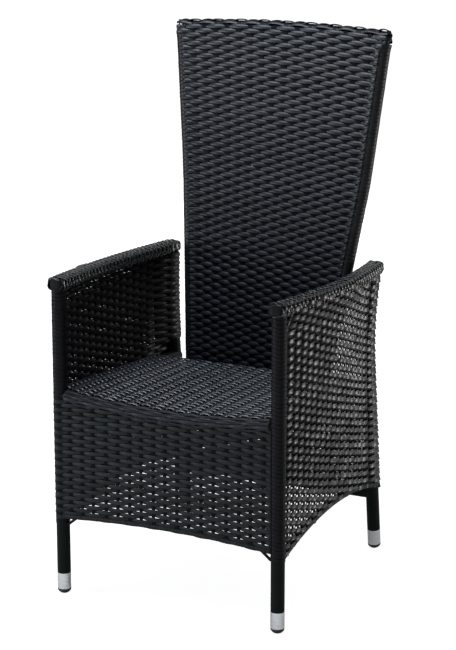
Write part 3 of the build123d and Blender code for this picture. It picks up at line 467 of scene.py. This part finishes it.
def back_surface(u, v):
    """The woven back's middle surface, which rolls over the top tube."""
    u = np.asarray(u, float)
    v = np.broadcast_to(v, u.shape).astype(float)
    y, z = profile_at(v)
    run = np.clip(v, 0.0, BACK_TOP)
    ahead_y, ahead_z = profile_at(run + 2.0)
    behind_y, behind_z = profile_at(run - 2.0)
    size = np.hypot(ahead_y - behind_y, ahead_z - behind_z)
    ty, tz = (ahead_y - behind_y) / size, (ahead_z - behind_z) / size
    crown = BACK_CROWN * (1.0 - (u / CORNER[0]) ** 2) * smooth((v - (BACK_TOP - 420.0)) / 420.0)
    lift = SHEET_FRONT + (TOP_RADIUS - SHEET_FRONT) * smooth((v - (BACK_TOP - 60.0)) / 60.0)
    # the rows climb over the side tubes, less so near the top
    climb = 4.8 - 2.8 * smooth((v - (BACK_TOP - 40.0)) / 40.0)
    lift = lift + climb * smooth((np.abs(u) - (back_half_width(z) - 15.0)) / 11.0)
    angle = np.clip((v - BACK_TOP) / TOP_RADIUS, 0.0, math.radians(215.0))
    ny, nz = -tz, ty
    out_y = ny * np.cos(angle) + ty * np.sin(angle)
    out_z = nz * np.cos(angle) + tz * np.sin(angle)
    point = np.stack([u, y + ty * crown + out_y * lift, z + tz * crown + out_z * lift], axis=-1)
    normal = np.stack([np.zeros_like(u), out_y, out_z], axis=-1)
    return point, normal


def back_half_at(v):
    """Half the width between the side tubes' axes at a run."""
    return back_half_width(float(profile_at(float(v))[1]))


def back_stake_at(u, v):
    """Which stake a point of a row is beside."""
    return (u / back_half_at(v) * 0.5 + 0.5) * BACK_INTERVALS


def back_stake_x(number, v):
    """Where a stake of the back is at a run."""
    return (number / BACK_INTERVALS * 2.0 - 1.0) * back_half_at(v)


def back_extent(v):
    """From where to where a row of the back runs."""
    if profile_at(v)[1] < HINGE_ROWS_Z:
        return [(-HINGE_ROWS_HALF, HINGE_ROWS_HALF)]
    half = back_half_at(v) + 0.5
    if v > BACK_TOP - CORNER_REACH:
        half += 10.5 * float(smooth((v - BACK_TOP + CORNER_REACH) / 26.0))
    return [(-half, half)]


back = Strips()
top_run = TOP_RADIUS * math.radians(200.0)
back_rows = [(j, 3.0 + j * BACK_PITCH) for j in range(int((BACK_TOP + top_run) / BACK_PITCH))]
weave_rows(back, back_rows, back_extent, back_surface, back_stake_at, BACK_LOOK)
weave_stakes(back, range(1, BACK_INTERVALS),
             lambda number: [(2.0 if abs(back_stake_x(number, 0.0)) < 110.0 else 66.0,
                              BACK_TOP + top_run)],
             back_surface, back_stake_x, BACK_STAKE_WIDTH)
back.write("back_weave_strips", "back", "woven_strip", woven, "back_weave", "back_top_wrap")

# The wrap of the back's side tubes, which turns in over the top corner
edge = Strips()
for side in (-1.0, 1.0):
    line = []
    for z in np.linspace(408.0, 1090.0, 70):
        run = float(np.interp(z, PROFILE[:, 1], PROFILE_RUN))
        line.append((side * (back_half_width(z) + 0.9), float(profile_at(run)[0]), z))
    way = unit(np.array(CORNER) - np.array(BEND))
    corner = np.array(CORNER) + np.array([2.4, 0.0, -0.6])
    for share in np.linspace(0.0, 1.0, 9):
        x, y, z = bent(corner - way * 9.0, corner, corner + np.array([-16.0, 0.0, 0.6]), share)
        line.append((side * x, y, z))
    wrap_round(edge, line, 15.4, 8.2, 8.4, segments=18, wander=0.3)
edge.write("back_edge_strips", "back", "wrap_strip", wrapped_edge, "back_edge_wrap_left",
           "back_edge_wrap_right")


# Front skirt
def skirt_arch(x):
    """How much the skirt's rows rise towards the middle."""
    return (SKIRT_MIDDLE_Z - SKIRT_END_Z) * (1.0 - (np.asarray(x) / POST_X) ** 2)


def rail_z(x):
    """The height of the front rail's axis."""
    return RAIL_MIDDLE_Z + (RAIL_END_Z - RAIL_MIDDLE_Z) * (np.asarray(x) / POST_X) ** 2


SKIRT_Y = -12.0
SKIRT_TURN_RADIUS = 14.2
SKIRT_INTERVALS = 18
SKIRT_PITCH = 8.2
SKIRT_LOOK = dict(step=4.6, uneven=0.12, drift=0.22, tilt=0.08, twist=0.06, sharp=1.6, tuck=6.0,
                  amplitude=1.3, swell=0.3, pinch=2.05, width=8.4, crown=0.6, thickness=0.7,
                  narrow=1.6)
SKIRT_STAKE_WIDTH = 8.0
SKIRT_STAKES = np.linspace(-POST_X, POST_X, SKIRT_INTERVALS + 1)
SKIRT_STAKES[1:-1] += rng.normal(0.0, 0.8, SKIRT_INTERVALS - 1)


def skirt_surface(u, v):
    """The skirt's middle surface, which turns round the sitter's right post to its outside."""
    u = np.asarray(u, float)
    past = np.clip(-POST_X - u, 0.0, None)
    angle = np.clip(past / SKIRT_TURN_RADIUS, 0.0, math.radians(150.0))
    depth = SKIRT_Y - (SKIRT_TURN_RADIUS + SKIRT_Y) * smooth((-u - POST_X + 14.0) / 14.0)
    x = np.where(past > 0.0, -POST_X - SKIRT_TURN_RADIUS * np.sin(angle), u)
    y = np.where(past > 0.0, -SKIRT_TURN_RADIUS * np.cos(angle), depth)
    z = v + skirt_arch(np.clip(u, -POST_X, POST_X))
    normal = np.stack([np.where(past > 0.0, -np.sin(angle), 0.0),
                       np.where(past > 0.0, -np.cos(angle), -1.0), np.zeros_like(u)], axis=-1)
    return np.stack([x, y, z], axis=-1), normal


def skirt_stake_at(u, v):
    """Which stake of the skirt a point is beside."""
    extended = np.concatenate([[SKIRT_STAKES[0] - 27.0], SKIRT_STAKES])
    return np.interp(u, extended, np.arange(-1, SKIRT_INTERVALS + 1))


def skirt_extent(v):
    """A row runs from outside the sitter's right post to the left one, under the roll."""
    first = -POST_X - SKIRT_TURN_RADIUS * math.radians(105.0)
    last = POST_X - 9.5
    if v + float(skirt_arch(0.0)) <= RAIL_MIDDLE_Z - 4.0:
        return [(first, last)]
    x = np.linspace(0.0, POST_X, 80)
    under = x[(v + skirt_arch(x)) < rail_z(x) - 4.0]
    if len(under) == 0:
        return []
    return [(first, -under[0]), (under[0], last)]


skirt = Strips()
skirt_rows = [(j, SKIRT_END_Z + 5.0 + j * SKIRT_PITCH) for j in range(33)]
skirt_rows = [(j, level) for j, level in skirt_rows if level < RAIL_END_Z + 2.0]
weave_rows(skirt, skirt_rows, skirt_extent, skirt_surface, skirt_stake_at, SKIRT_LOOK)
weave_stakes(skirt, range(0, SKIRT_INTERVALS),
             lambda number: [(SKIRT_END_Z + 1.0, float(
                 rail_z(SKIRT_STAKES[number]) - skirt_arch(SKIRT_STAKES[number])))],
             skirt_surface, lambda number, v: SKIRT_STAKES[number], SKIRT_STAKE_WIDTH)
skirt.write("front_skirt_strips", "base", "woven_strip", woven_skirt, "front_skirt")

# The seat and its roll over the front rail
SEAT_PITCH = 8.1
SEAT_RADIUS = 13.7
SEAT_QUARTER = SEAT_RADIUS * math.pi / 2.0
SEAT_FIRST = -9.0
ROLL_ROWS = 4
SEAT_LOOK = dict(step=4.0, uneven=0.06, drift=0.12, tilt=-0.1, twist=0.04, sharp=2.2, tuck=8.0,
                 amplitude=2.6, swell=0.4, pinch=1.0, width=8.0, crown=1.8, thickness=0.7,
                 lean=3.5)
SEAT_STAKE_WIDTH = 10.0


def seat_side_x(y):
    """Half the seat's width at a distance behind the front posts."""
    return POST_X + (REAR_X - POST_X) * np.asarray(y) / KNEE_Y


def seat_surface(u, v):
    """The seat's middle surface: v counts from the roll's front, over it, to the rear rail."""
    u = np.asarray(u, float)
    v = np.broadcast_to(v, u.shape).astype(float)
    angle = np.clip(v / SEAT_RADIUS, -math.radians(60.0), math.pi / 2.0)
    flat = np.clip(v - SEAT_QUARTER, 0.0, REAR_RAIL_Y)
    past = np.clip(v - SEAT_QUARTER - REAR_RAIL_Y, 0.0, None)
    share = flat / REAR_RAIL_Y
    rear_angle = np.clip(past / SEAT_RADIUS, 0.0, math.pi * 0.75)
    axis_z = rail_z(u) * (1.0 - share) + REAR_RAIL_Z * share
    out_y = np.where(v < SEAT_QUARTER, -np.cos(angle), np.sin(rear_angle))
    out_z = np.where(v < SEAT_QUARTER, np.sin(angle), np.cos(rear_angle))
    point = np.stack([u, flat + out_y * SEAT_RADIUS, axis_z + out_z * SEAT_RADIUS], axis=-1)
    return point, np.stack([np.zeros_like(u), out_y, out_z], axis=-1)


def seat_scale(v):
    """How the stakes draw together towards the rear, where the seat is narrower."""
    share = np.clip((v - SEAT_QUARTER) / REAR_RAIL_Y, 0.0, 1.0)
    return 1.0 + (seat_side_x(REAR_RAIL_Y) / POST_X - 1.0) * share


def seat_stake_at(u, v):
    """Which stake of the seat a point is beside: the stakes carry on from the skirt."""
    return np.interp(u / seat_scale(v), SKIRT_STAKES, np.arange(SKIRT_INTERVALS + 1))


def seat_stake_x(number, v):
    """Where a stake of the seat is at a run."""
    return SKIRT_STAKES[number] * float(seat_scale(v))


def seat_extent(v):
    """A row ends inside the side panels, or against the posts' wraps."""
    if v < SEAT_QUARTER + 14.0:
        half = POST_X - 14.5
    else:
        half = float(seat_side_x(min(v - SEAT_QUARTER, REAR_RAIL_Y + 10.0))) + 3.5
    return [(-half, half)]


roll, seat = Strips(), Strips()
rows = [(j, SEAT_FIRST + j * SEAT_PITCH) for j in range(0, 56)]
rows = [(j, level) for j, level in rows if level < SEAT_QUARTER + REAR_RAIL_Y + 26.0]
weave_rows(roll, rows[:ROLL_ROWS], seat_extent, seat_surface, seat_stake_at,
           dict(SEAT_LOOK, amplitude=1.1, tilt=0.0, lean=0.0))
weave_rows(seat, rows[ROLL_ROWS:], seat_extent, seat_surface, seat_stake_at, SEAT_LOOK)
weave_stakes(seat, range(1, SKIRT_INTERVALS),
             lambda number: [(-12.0, SEAT_QUARTER + REAR_RAIL_Y + 24.0)],
             seat_surface, seat_stake_x, SEAT_STAKE_WIDTH)
roll.write("seat_roll_strips", "base", "woven_strip", woven_roll, "seat_front_wrap")
seat.write("seat_strips", "base", "woven_strip", woven_seat_lit, "seat_weave")


# Side panels
def rear_post_y(z):
    """The rear post's axis, straight to the knee and then bent back up to the arm."""
    z = np.asarray(z, float)
    straight = REAR_FOOT_Y + (KNEE_Y - REAR_FOOT_Y) * z / KNEE_Z
    height = np.clip(z - KNEE_Z, 0.0, None)
    slope = (KNEE_Y - REAR_FOOT_Y) / KNEE_Z
    top = REAR_TOP[2] - KNEE_Z
    bend = (REAR_TOP[1] - KNEE_Y - slope * top) / top ** 2
    return np.where(z < KNEE_Z, straight, KNEE_Y + slope * height + bend * height ** 2)


def rear_post_x(z):
    """The rear post's axis, which leans out to the arm above the knee."""
    height = np.clip(np.asarray(z, float) - KNEE_Z, 0.0, None)
    return REAR_X + (REAR_TOP[0] - REAR_X) * (height / (REAR_TOP[2] - KNEE_Z)) ** 2


ARM_PLACES = np.array([-17.0, 248.5, 497.0])
ARM_FIT_X = np.polyfit(ARM_PLACES, np.array([242.1, 259.9, 238.9]), 2)
ARM_FIT_Z = np.polyfit(ARM_PLACES, np.array([659.2, 647.4, 641.0]), 2)


def arm_axis(y):
    """The arm's axis, x and z, at a distance behind the front posts."""
    y = np.asarray(y, float)
    return np.polyval(ARM_FIT_X, y), np.polyval(ARM_FIT_Z, y)


def arm_cover(y):
    """Where the panel's rows carry on up the arm's outer side: 1 to 0 towards the rear."""
    y = np.asarray(y, float)
    return smooth((385.0 - y) / 70.0) * smooth((y + 4.0) / 12.0)


def arch_z(y):
    """The panel's arched lower edge."""
    y = np.asarray(y, float)
    end = float(rear_post_y(ARCH_END_Z))
    near = np.clip(y / ARCH_MIDDLE_Y, 0.0, 1.0)
    far = np.clip((end - y) / (end - ARCH_MIDDLE_Y), 0.0, 1.0)
    share = np.where(y < ARCH_MIDDLE_Y, near, far)
    return ARCH_END_Z + (ARCH_MIDDLE_Z - ARCH_END_Z) * (1.0 - (1.0 - share) ** 2)


def panel_bow(z):
    """How far the panel stands out between its posts."""
    return 1.2 + (22.15 - 1.2) * (np.asarray(z, float) - 140.0) / 510.0


PANEL_OUT = 8.0
ARM_SIDE_OUT = 18.6
HUG_RADIUS = 16.8
PANEL_REAR_REACH = 12.5
INNER_HUG_Z = 428.0


def panel_surface(side, over=1.0):
    """The middle surface of one side panel, u along the side and v up.

    Its rear edge goes over the outer side of the rear post, or with over = -1 the inner one.
    """
    def outward(u, v):
        rear = rear_post_y(v)
        share = np.clip(u / rear, -0.05, 1.05)
        x = (POST_X + (REAR_X - POST_X) * share + PANEL_OUT
             + panel_bow(v) * 4.0 * share * (1.0 - share))
        arm_x, arm_z = arm_axis(u)
        x = x + (arm_x + ARM_SIDE_OUT - x) * smooth((v - arm_z + 48.0) / 44.0) * arm_cover(u)
        past = u - rear
        hug = rear_post_x(v) + over * np.sqrt(np.clip(
            HUG_RADIUS ** 2 - np.clip(past, 0.0, None) ** 2, 0.0, None))
        share = smooth((past + 64.0) / 56.0)
        if over < 0.0:
            share = share * smooth((v - INNER_HUG_Z) / 16.0)
        return x + (hug - x) * share

    def surface(u, v):
        u = np.asarray(u, float)
        v = np.broadcast_to(v, u.shape).astype(float)
        along = outward(u + 0.5, v) - outward(u - 0.5, v)
        rise = (outward(u, v + 0.5) - outward(u, v - 0.5)) * 0.6
        point = np.stack([side * outward(u, v), u, v], axis=-1)
        normal = unit(np.stack([side * np.ones_like(u), -along, -rise], axis=-1))
        return point, normal
    return surface


PANEL_INTERVALS = 18
PANEL_PITCH = 8.3


def panel_stake_y(number, v):
    """Where a stake of the side panel is at a height: low down they crowd to the front."""
    share = np.asarray(number, float) / PANEL_INTERVALS
    crowd = 0.11 - 0.16 * (v - 200.0) / 420.0
    return float(rear_post_y(v)) * (share + crowd * share * (share - 1.0))


def panel_stake_at(u, v):
    """Which stake of the side panel a point is beside."""
    number = np.arange(PANEL_INTERVALS + 2)
    return np.interp(u, panel_stake_y(number, v), number)


def panel_calm(u, v):
    """Rows lie flat where they turn round the rear post."""
    return 1.0 - 0.7 * smooth((u - float(rear_post_y(v)) + 22.0) / 14.0)


OUTER_LOOK = dict(step=3.8, uneven=0.12, drift=0.25, tilt=0.16, twist=0.07, sharp=1.0, tuck=8.0,
                  amplitude=3.6, swell=0.0, pinch=0.6, width=8.9, crown=0.35, thickness=1.2,
                  lean=-6.5, calm=panel_calm)
INNER_LOOK = dict(OUTER_LOOK, tilt=0.28, amplitude=2.6, width=9.5, crown=1.0, pinch=0.0, lean=0.0)
PANEL_STAKE_WIDTH = 12.0

grommet_low, grommet_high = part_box("lever_grommet")
shaft_y = 500.0 * (grommet_low.y + grommet_high.y) + SHIFT_Y
shaft_z = 500.0 * (grommet_low.z + grommet_high.z)


def panel_extent(z):
    """A row of the side panel: from the front post round the rear one, arch to arm."""
    y = np.linspace(9.0, float(rear_post_y(z)) + PANEL_REAR_REACH, 160)
    inside = (z > arch_z(y) + 4.0) & (z < arm_axis(y)[1] - 12.0 + 20.0 * arm_cover(y))
    spans, start = [], None
    for place, keep in zip(y, inside):
        if keep and start is None:
            start = place
        if not keep and start is not None:
            spans.append((start, place))
            start = None
    if start is not None:
        spans.append((start, y[-1]))
    return spans


def right_extent(z):
    """A row of the sitter's right panel, which leaves room for the release shaft's grommet."""
    spans = []
    for start, end in panel_extent(z):
        reach = 9.0 ** 2 - (z - shaft_z) ** 2
        if reach > 0.0 and start < shaft_y < end:
            half = math.sqrt(reach)
            spans += [(start, shaft_y - half), (shaft_y + half, end)]
        else:
            spans.append((start, end))
    return spans


def post_extent(z):
    """A short row on the other side of the rear post, where the weave comes round it."""
    rear = float(rear_post_y(z))
    return [(rear - 40.0, rear + PANEL_REAR_REACH)]


panel_rows = [(j, 152.0 + j * PANEL_PITCH) for j in range(62)]
for side, name, node, extent, look, material in (
        (1.0, "side_left_strips", "side_panel_left", panel_extent, OUTER_LOOK, woven_side),
        (-1.0, "side_right_strips", "side_panel_right", right_extent, INNER_LOOK,
         woven_side_inner_shaded)):
    panel = Strips()
    surface = panel_surface(side, side)
    weave_rows(panel, panel_rows, extent, surface, panel_stake_at, look)
    short_rows = [(j, level) for j, level in panel_rows
                  if level < 622.0 and (side < 0.0 or level > 440.0)]
    weave_rows(panel, short_rows, post_extent, panel_surface(side, -side), panel_stake_at, look)

    def stake_span(number, side=side):
        y = float(panel_stake_y(number, shaft_z))
        low = float(arch_z(y)) + 4.0
        high = float(arm_axis(y)[1]) - 10.0 + 16.0 * float(arm_cover(y))
        if side < 0.0 and abs(y - shaft_y) < 13.0:
            return [(low, shaft_z - 12.0), (shaft_z + 12.0, high)]
        return [(low, high)]

    weave_stakes(panel, range(1, PANEL_INTERVALS), stake_span, surface, panel_stake_y,
                 PANEL_STAKE_WIDTH)
    panel.write(name, "base", "woven_strip", material, node)

# Rear skirt
REAR_LOOK = dict(SKIRT_LOOK, amplitude=1.6, crown=1.1, width=8.9, pinch=0.4, tilt=-0.1,
                 narrow=3.0)
REAR_STAKE_GAP = 25.0
REAR_STAKE_WIDTH = 9.0
REAR_HALF_WIDTH = 222.0
REAR_BEHIND_POST = 11.4


def rear_surface(u, v):
    """The rear skirt's middle surface, behind the rear posts' axis."""
    u = np.asarray(u, float)
    v = np.broadcast_to(v, u.shape).astype(float)
    y = rear_post_y(v) + REAR_BEHIND_POST
    normal = np.stack([np.zeros_like(u), np.full_like(u, 0.99), np.full_like(u, 0.137)], axis=-1)
    return np.stack([u, y, v], axis=-1), normal


rear = Strips()
rear_rows = [(j, 128.0 + j * SKIRT_PITCH) for j in range(30)]
weave_rows(rear, rear_rows, lambda v: [(-REAR_HALF_WIDTH, REAR_HALF_WIDTH)], rear_surface,
           lambda u, v: u / REAR_STAKE_GAP + 9.0, REAR_LOOK)
weave_stakes(rear, range(1, 18), lambda number: [(124.0, 372.0)], rear_surface,
             lambda number, v: (number - 9.0) * REAR_STAKE_GAP, REAR_STAKE_WIDTH)
rear.write("rear_skirt_strips", "base", "woven_strip", woven_skirt, "rear_skirt")

# Wraps of the posts
POST_WRAP_RADIUS = 14.6
POST_WRAP_START_Z = 150.0


def post_line(side, end, at_rear):
    """Points up the axis of a post, from where its wrap starts."""
    z = np.linspace(POST_WRAP_START_Z, end, 90)
    if at_rear:
        return np.stack([side * rear_post_x(z), rear_post_y(z), z], axis=-1)
    return np.stack([np.full_like(z, side * POST_X), np.zeros_like(z), z], axis=-1)


front_wraps, rear_wraps = Strips(), Strips()
for side in (-1.0, 1.0):
    for strips, end, at_rear in ((front_wraps, 648.0, False), (rear_wraps, 632.0, True)):
        wrap_round(strips, post_line(side, end, at_rear), POST_WRAP_RADIUS, 8.3, 8.2,
                   wander=0.2, crown=0.35)


# Arms: strips cross over the flat oval and dive under lengthwise ones
def oval_point(angle, half_width, half_height, corner):
    """A point and its normal on a rounded rectangle, by an angle round it."""
    straight_x, straight_y = half_width - corner, half_height - corner
    lengths = [2 * straight_y, math.pi / 2 * corner, 2 * straight_x, math.pi / 2 * corner] * 2
    run = (angle / (2 * math.pi)) % 1.0 * sum(lengths)
    corners = [(straight_x, straight_y), (-straight_x, straight_y), (-straight_x, -straight_y),
               (straight_x, -straight_y)]
    edge = 0
    while run > lengths[edge]:
        run -= lengths[edge]
        edge += 1
    quarter, on_arc = edge // 2, edge % 2
    turn = quarter * math.pi / 2
    if on_arc:
        turn += run / corner
        centre = corners[quarter]
        return (centre[0] + corner * math.cos(turn), centre[1] + corner * math.sin(turn),
                math.cos(turn), math.sin(turn))
    start = corners[(quarter + 3) % 4]
    way = (-math.sin(turn), math.cos(turn))
    return (start[0] + corner * math.cos(turn) + way[0] * run,
            start[1] + corner * math.sin(turn) + way[1] * run, math.cos(turn), math.sin(turn))


ARM_START, ARM_END = -15.5, 493.5
ARM_SAMPLES = 32
ARM_OVAL = [oval_point(2 * math.pi * place / ARM_SAMPLES, 17.3, 12.3, 8.5)
            for place in range(ARM_SAMPLES)]
ARM_CAP_HALF = 13.6


def arm_girth(y):
    """The arm's ends are rounded: its girth shrinks over the last few millimetres."""
    left = np.minimum(np.asarray(y, float) - ARM_START, ARM_END - np.asarray(y, float))
    return 1.0 - 0.22 * np.clip(1.0 - left / 13.0, 0.0, 1.0) ** 2


def add_arm_strip(strips, side, points, normals, *sizes, tone=None):
    """A strip of the left arm, or on side -1 its mirror image on the right one."""
    flip = np.array([side, 1.0, 1.0])
    strips.add(np.array(points) * flip, np.array(normals) * flip, *sizes, tone=tone)


arms = Strips()
for side in (-1.0, 1.0):
    for number, y in enumerate(np.arange(ARM_START + 3.4, ARM_END - 2.4, 7.6)):
        x, z = arm_axis(y)
        ahead_x, ahead_z = arm_axis(y + 1.0)
        tangent = unit(np.array([float(ahead_x - x), 1.0, float(ahead_z - z)]))
        across = unit(np.cross(tangent, np.array([0.0, 0.0, 1.0])))
        upward = np.cross(across, tangent)
        points, normals = [], []
        lift = 1.35 + 0.15 * rng.normal()
        girth = float(arm_girth(y))
        for place in range(ARM_SAMPLES + 1):
            a, b, na, nb = ARM_OVAL[place % ARM_SAMPLES]
            wave = math.cos(math.pi * (place / 4.0 + number)) * lift
            radial = across * na + upward * nb
            points.append(np.array([float(x), y, float(z)])
                          + across * a * girth + upward * b * girth + radial * wave
                          + tangent * (0.6 * math.sin(place * 0.9 + number)))
            normals.append(radial)
        add_arm_strip(arms, side, points, normals, 8.3 + 0.2 * rng.normal(), 1.5, 0.7,
                      0.07 * rng.normal())
    # lengthwise strips, which the crossing ones pass over and under; their tone under 0 is painted
    # shade, with the darkest colour and less sheen
    y = np.linspace(ARM_START + 1.5, ARM_END - 1.5, 130)
    x, z = arm_axis(y)
    girth = arm_girth(y)
    for place in range(2, ARM_SAMPLES, 4):
        a, b, na, nb = ARM_OVAL[place]
        add_arm_strip(arms, side, np.stack([x + a * girth, y, z + b * girth], axis=-1),
                      np.tile(np.array([na, 0.0, nb]), (len(y), 1)), 6.0, 0.3, 0.6, tone=-0.6)
    # the posts' wrap carries on over the arm's ends
    bar = np.linspace(-ARM_CAP_HALF, ARM_CAP_HALF, 14)
    for strips, y, facing in ((front_wraps, ARM_START, -1.0), (rear_wraps, ARM_END, 1.0)):
        x, z = arm_axis(y)
        depth = y + facing * (0.4 - 2.6 * (bar / ARM_CAP_HALF) ** 4)
        for offset in (-6.2, 0.0, 6.2):
            points = np.stack([x + bar, depth, np.full_like(bar, float(z) + offset)], axis=-1)
            add_arm_strip(strips, side, points, np.tile(np.array([0.0, facing, 0.0]),
                                                        (len(bar), 1)), 8.4, 0.6, 0.7)
front_wraps.write("front_post_strips", "base", "wrap_strip", wrapped, "front_post_wrap_left",
                  "front_post_wrap_right")
rear_wraps.write("rear_post_strips", "base", "wrap_strip", wrapped, "rear_post_wrap_left",
                 "rear_post_wrap_right")
arms.write("arm_strips", "base", "wrap_strip", wrapped_arm, "arm_wrap_left", "arm_wrap_right")

# Lower edges: strips wound round the bent rods of the skirt and the sides
edges = Strips()
x = np.linspace(-POST_X + 10.0, POST_X - 10.0, 120)
lines = [(np.stack([x, np.full_like(x, -8.6), skirt_arch(x) + SKIRT_END_Z + 6.0], axis=-1),
          (0.0, 0.0, 1.0))]
for side in (-1.0, 1.0):
    y = np.linspace(12.0, float(rear_post_y(ARCH_END_Z)) - 12.0, 120)
    point, _ = panel_surface(side)(y, arch_z(y) + 4.5)
    lines.append((point - np.array([side * 2.6, 0.0, 0.0]), (1.0, 0.0, 0.0)))
for line, up in lines:
    wrap_round(edges, line, 5.9, 7.0, 7.2, segments=12, up=up, crown=0.4, wander=0.3)
edges.write("lower_edge_strips", "base", "wrap_strip", woven_skirt)


# Stage, lights and camera
def axes_matrix(right, up_way, backward, place):
    """The matrix of a lamp or camera at a place, which looks against its backward axis."""
    return Matrix([(right[i], up_way[i], backward[i], place[i]) for i in range(3)]
                  + [(0.0, 0.0, 0.0, 1.0)])


def add_area(name, place, aim, size, power, colour):
    """A soft rectangular light aimed at a point."""
    data = bpy.data.lights.new(name, "AREA")
    data.shape = "RECTANGLE"
    data.size, data.size_y = size
    data.energy = power
    data.color = colour
    lamp = bpy.data.objects.new(name, data)
    lamp.visible_camera = False
    bpy.context.scene.collection.objects.link(lamp)
    backward = unit(np.array(place) - np.array(aim))
    right = unit(np.cross(np.array([0.0, 0.0, 1.0]), backward))
    lamp.matrix_world = axes_matrix(right, np.cross(backward, right), backward, place)


def make_floor():
    """A pale plain floor, a little brighter to the camera so that it reads as white."""
    mesh = bpy.data.meshes.new("floor")
    mesh.from_pydata([(-12.0, -12.0, 0.0), (12.0, -12.0, 0.0), (12.0, 12.0, 0.0),
                      (-12.0, 12.0, 0.0)], [], [(0, 1, 2, 3)])
    floor = bpy.data.objects.new("floor", mesh)
    bpy.context.scene.collection.objects.link(floor)
    material, nodes, links, shader = new_material("floor_paper")
    shader.inputs["Base Color"].default_value = (0.86, 0.86, 0.86, 1.0)
    shader.inputs["Roughness"].default_value = 0.9
    shader.inputs["Specular IOR Level"].default_value = 0.1
    shader.inputs["Emission Color"].default_value = (1.0, 1.0, 1.0, 1.0)
    place = nodes.new("ShaderNodeNewGeometry")
    reach = add_node(nodes, "ShaderNodeVectorMath", operation="LENGTH")
    links.new(place.outputs["Position"], reach.inputs[0])
    grow = add_node(nodes, "ShaderNodeMapRange", {"From Min": 0.5, "From Max": 3.0,
                                                  "To Min": 0.84, "To Max": 1.05})
    grow.interpolation_type = "SMOOTHSTEP"
    links.new(reach.outputs["Value"], grow.inputs["Value"])
    ray = nodes.new("ShaderNodeLightPath")
    links.new(multiply(nodes, links, ray.outputs["Is Camera Ray"], grow.outputs["Result"]),
              shader.inputs["Emission Strength"])
    mesh.materials.append(material)


def make_world():
    """White to the camera, and faint as a light."""
    world = bpy.data.worlds.new("studio")
    bpy.context.scene.world = world
    world.use_nodes = True
    nodes, links = world.node_tree.nodes, world.node_tree.links
    background = nodes["Background"]
    background.inputs["Color"].default_value = (1.0, 1.0, 1.0, 1.0)
    ray = nodes.new("ShaderNodeLightPath")
    seen = add_node(nodes, "ShaderNodeMath", {1: 0.92, 2: 0.08}, "MULTIPLY_ADD")
    links.new(ray.outputs["Is Camera Ray"], seen.inputs[0])
    links.new(seen.outputs[0], background.inputs["Strength"])


def make_camera():
    """The photograph's camera."""
    azimuth, elevation = math.radians(26.21), math.radians(14.53)
    focal_pixels, photo_height = 2103.5, 650.0
    position = (1.8676, -3.5205 - SHIFT_Y * 0.001, 1.6332)
    right = (math.cos(azimuth), math.sin(azimuth), 0.0)
    up_way = (-math.sin(azimuth) * math.sin(elevation), math.cos(azimuth) * math.sin(elevation),
              math.cos(elevation))
    backward = (math.sin(azimuth) * math.cos(elevation), -math.cos(azimuth) * math.cos(elevation),
                math.sin(elevation))
    data = bpy.data.cameras.new("camera")
    data.sensor_fit = "VERTICAL"
    data.sensor_height = 36.0
    data.lens = focal_pixels / photo_height * data.sensor_height
    data.clip_end = 60.0
    camera = bpy.data.objects.new("camera", data)
    bpy.context.scene.collection.objects.link(camera)
    camera.matrix_world = axes_matrix(right, up_way, backward, position)
    bpy.context.scene.camera = camera


# each light's name, place, aim, size, power and colour, in metres and watts
LIGHTS = (
    ("key_top", (-0.1, -0.25, 2.0), (0.0, 0.2, 0.9), (1.3, 0.8), 22.0, (0.86, 0.93, 1.0)),
    ("side_right", (2.75, 1.9, 0.62), (0.2, 0.1, 0.45), (1.0, 0.8), 33.0, (1.0, 0.98, 0.96)),
    ("front_left", (-2.9, -2.2, 0.62), (0.0, 0.1, 0.6), (2.2, 1.0), 59.0, (0.92, 0.96, 1.0)),
    ("front_low", (0.9, -3.6, 0.36), (0.0, 0.0, 0.3), (3.2, 0.6), 4.0, (0.96, 0.98, 1.0)),
    ("foot_strip", (0.5, -1.7, 0.10), (0.0, 0.1, 0.03), (2.4, 0.12), 4.5, (0.96, 0.98, 1.0)),
    ("backdrop", (-1.0, 3.6, 1.3), (0.0, 0.3, 0.6), (5.0, 2.6), 32.0, (1.0, 1.0, 1.0)),
)
make_floor()
make_world()
for light in LIGHTS:
    add_area(*light)
make_camera()
bpy.context.scene.view_settings.view_transform = "Standard"
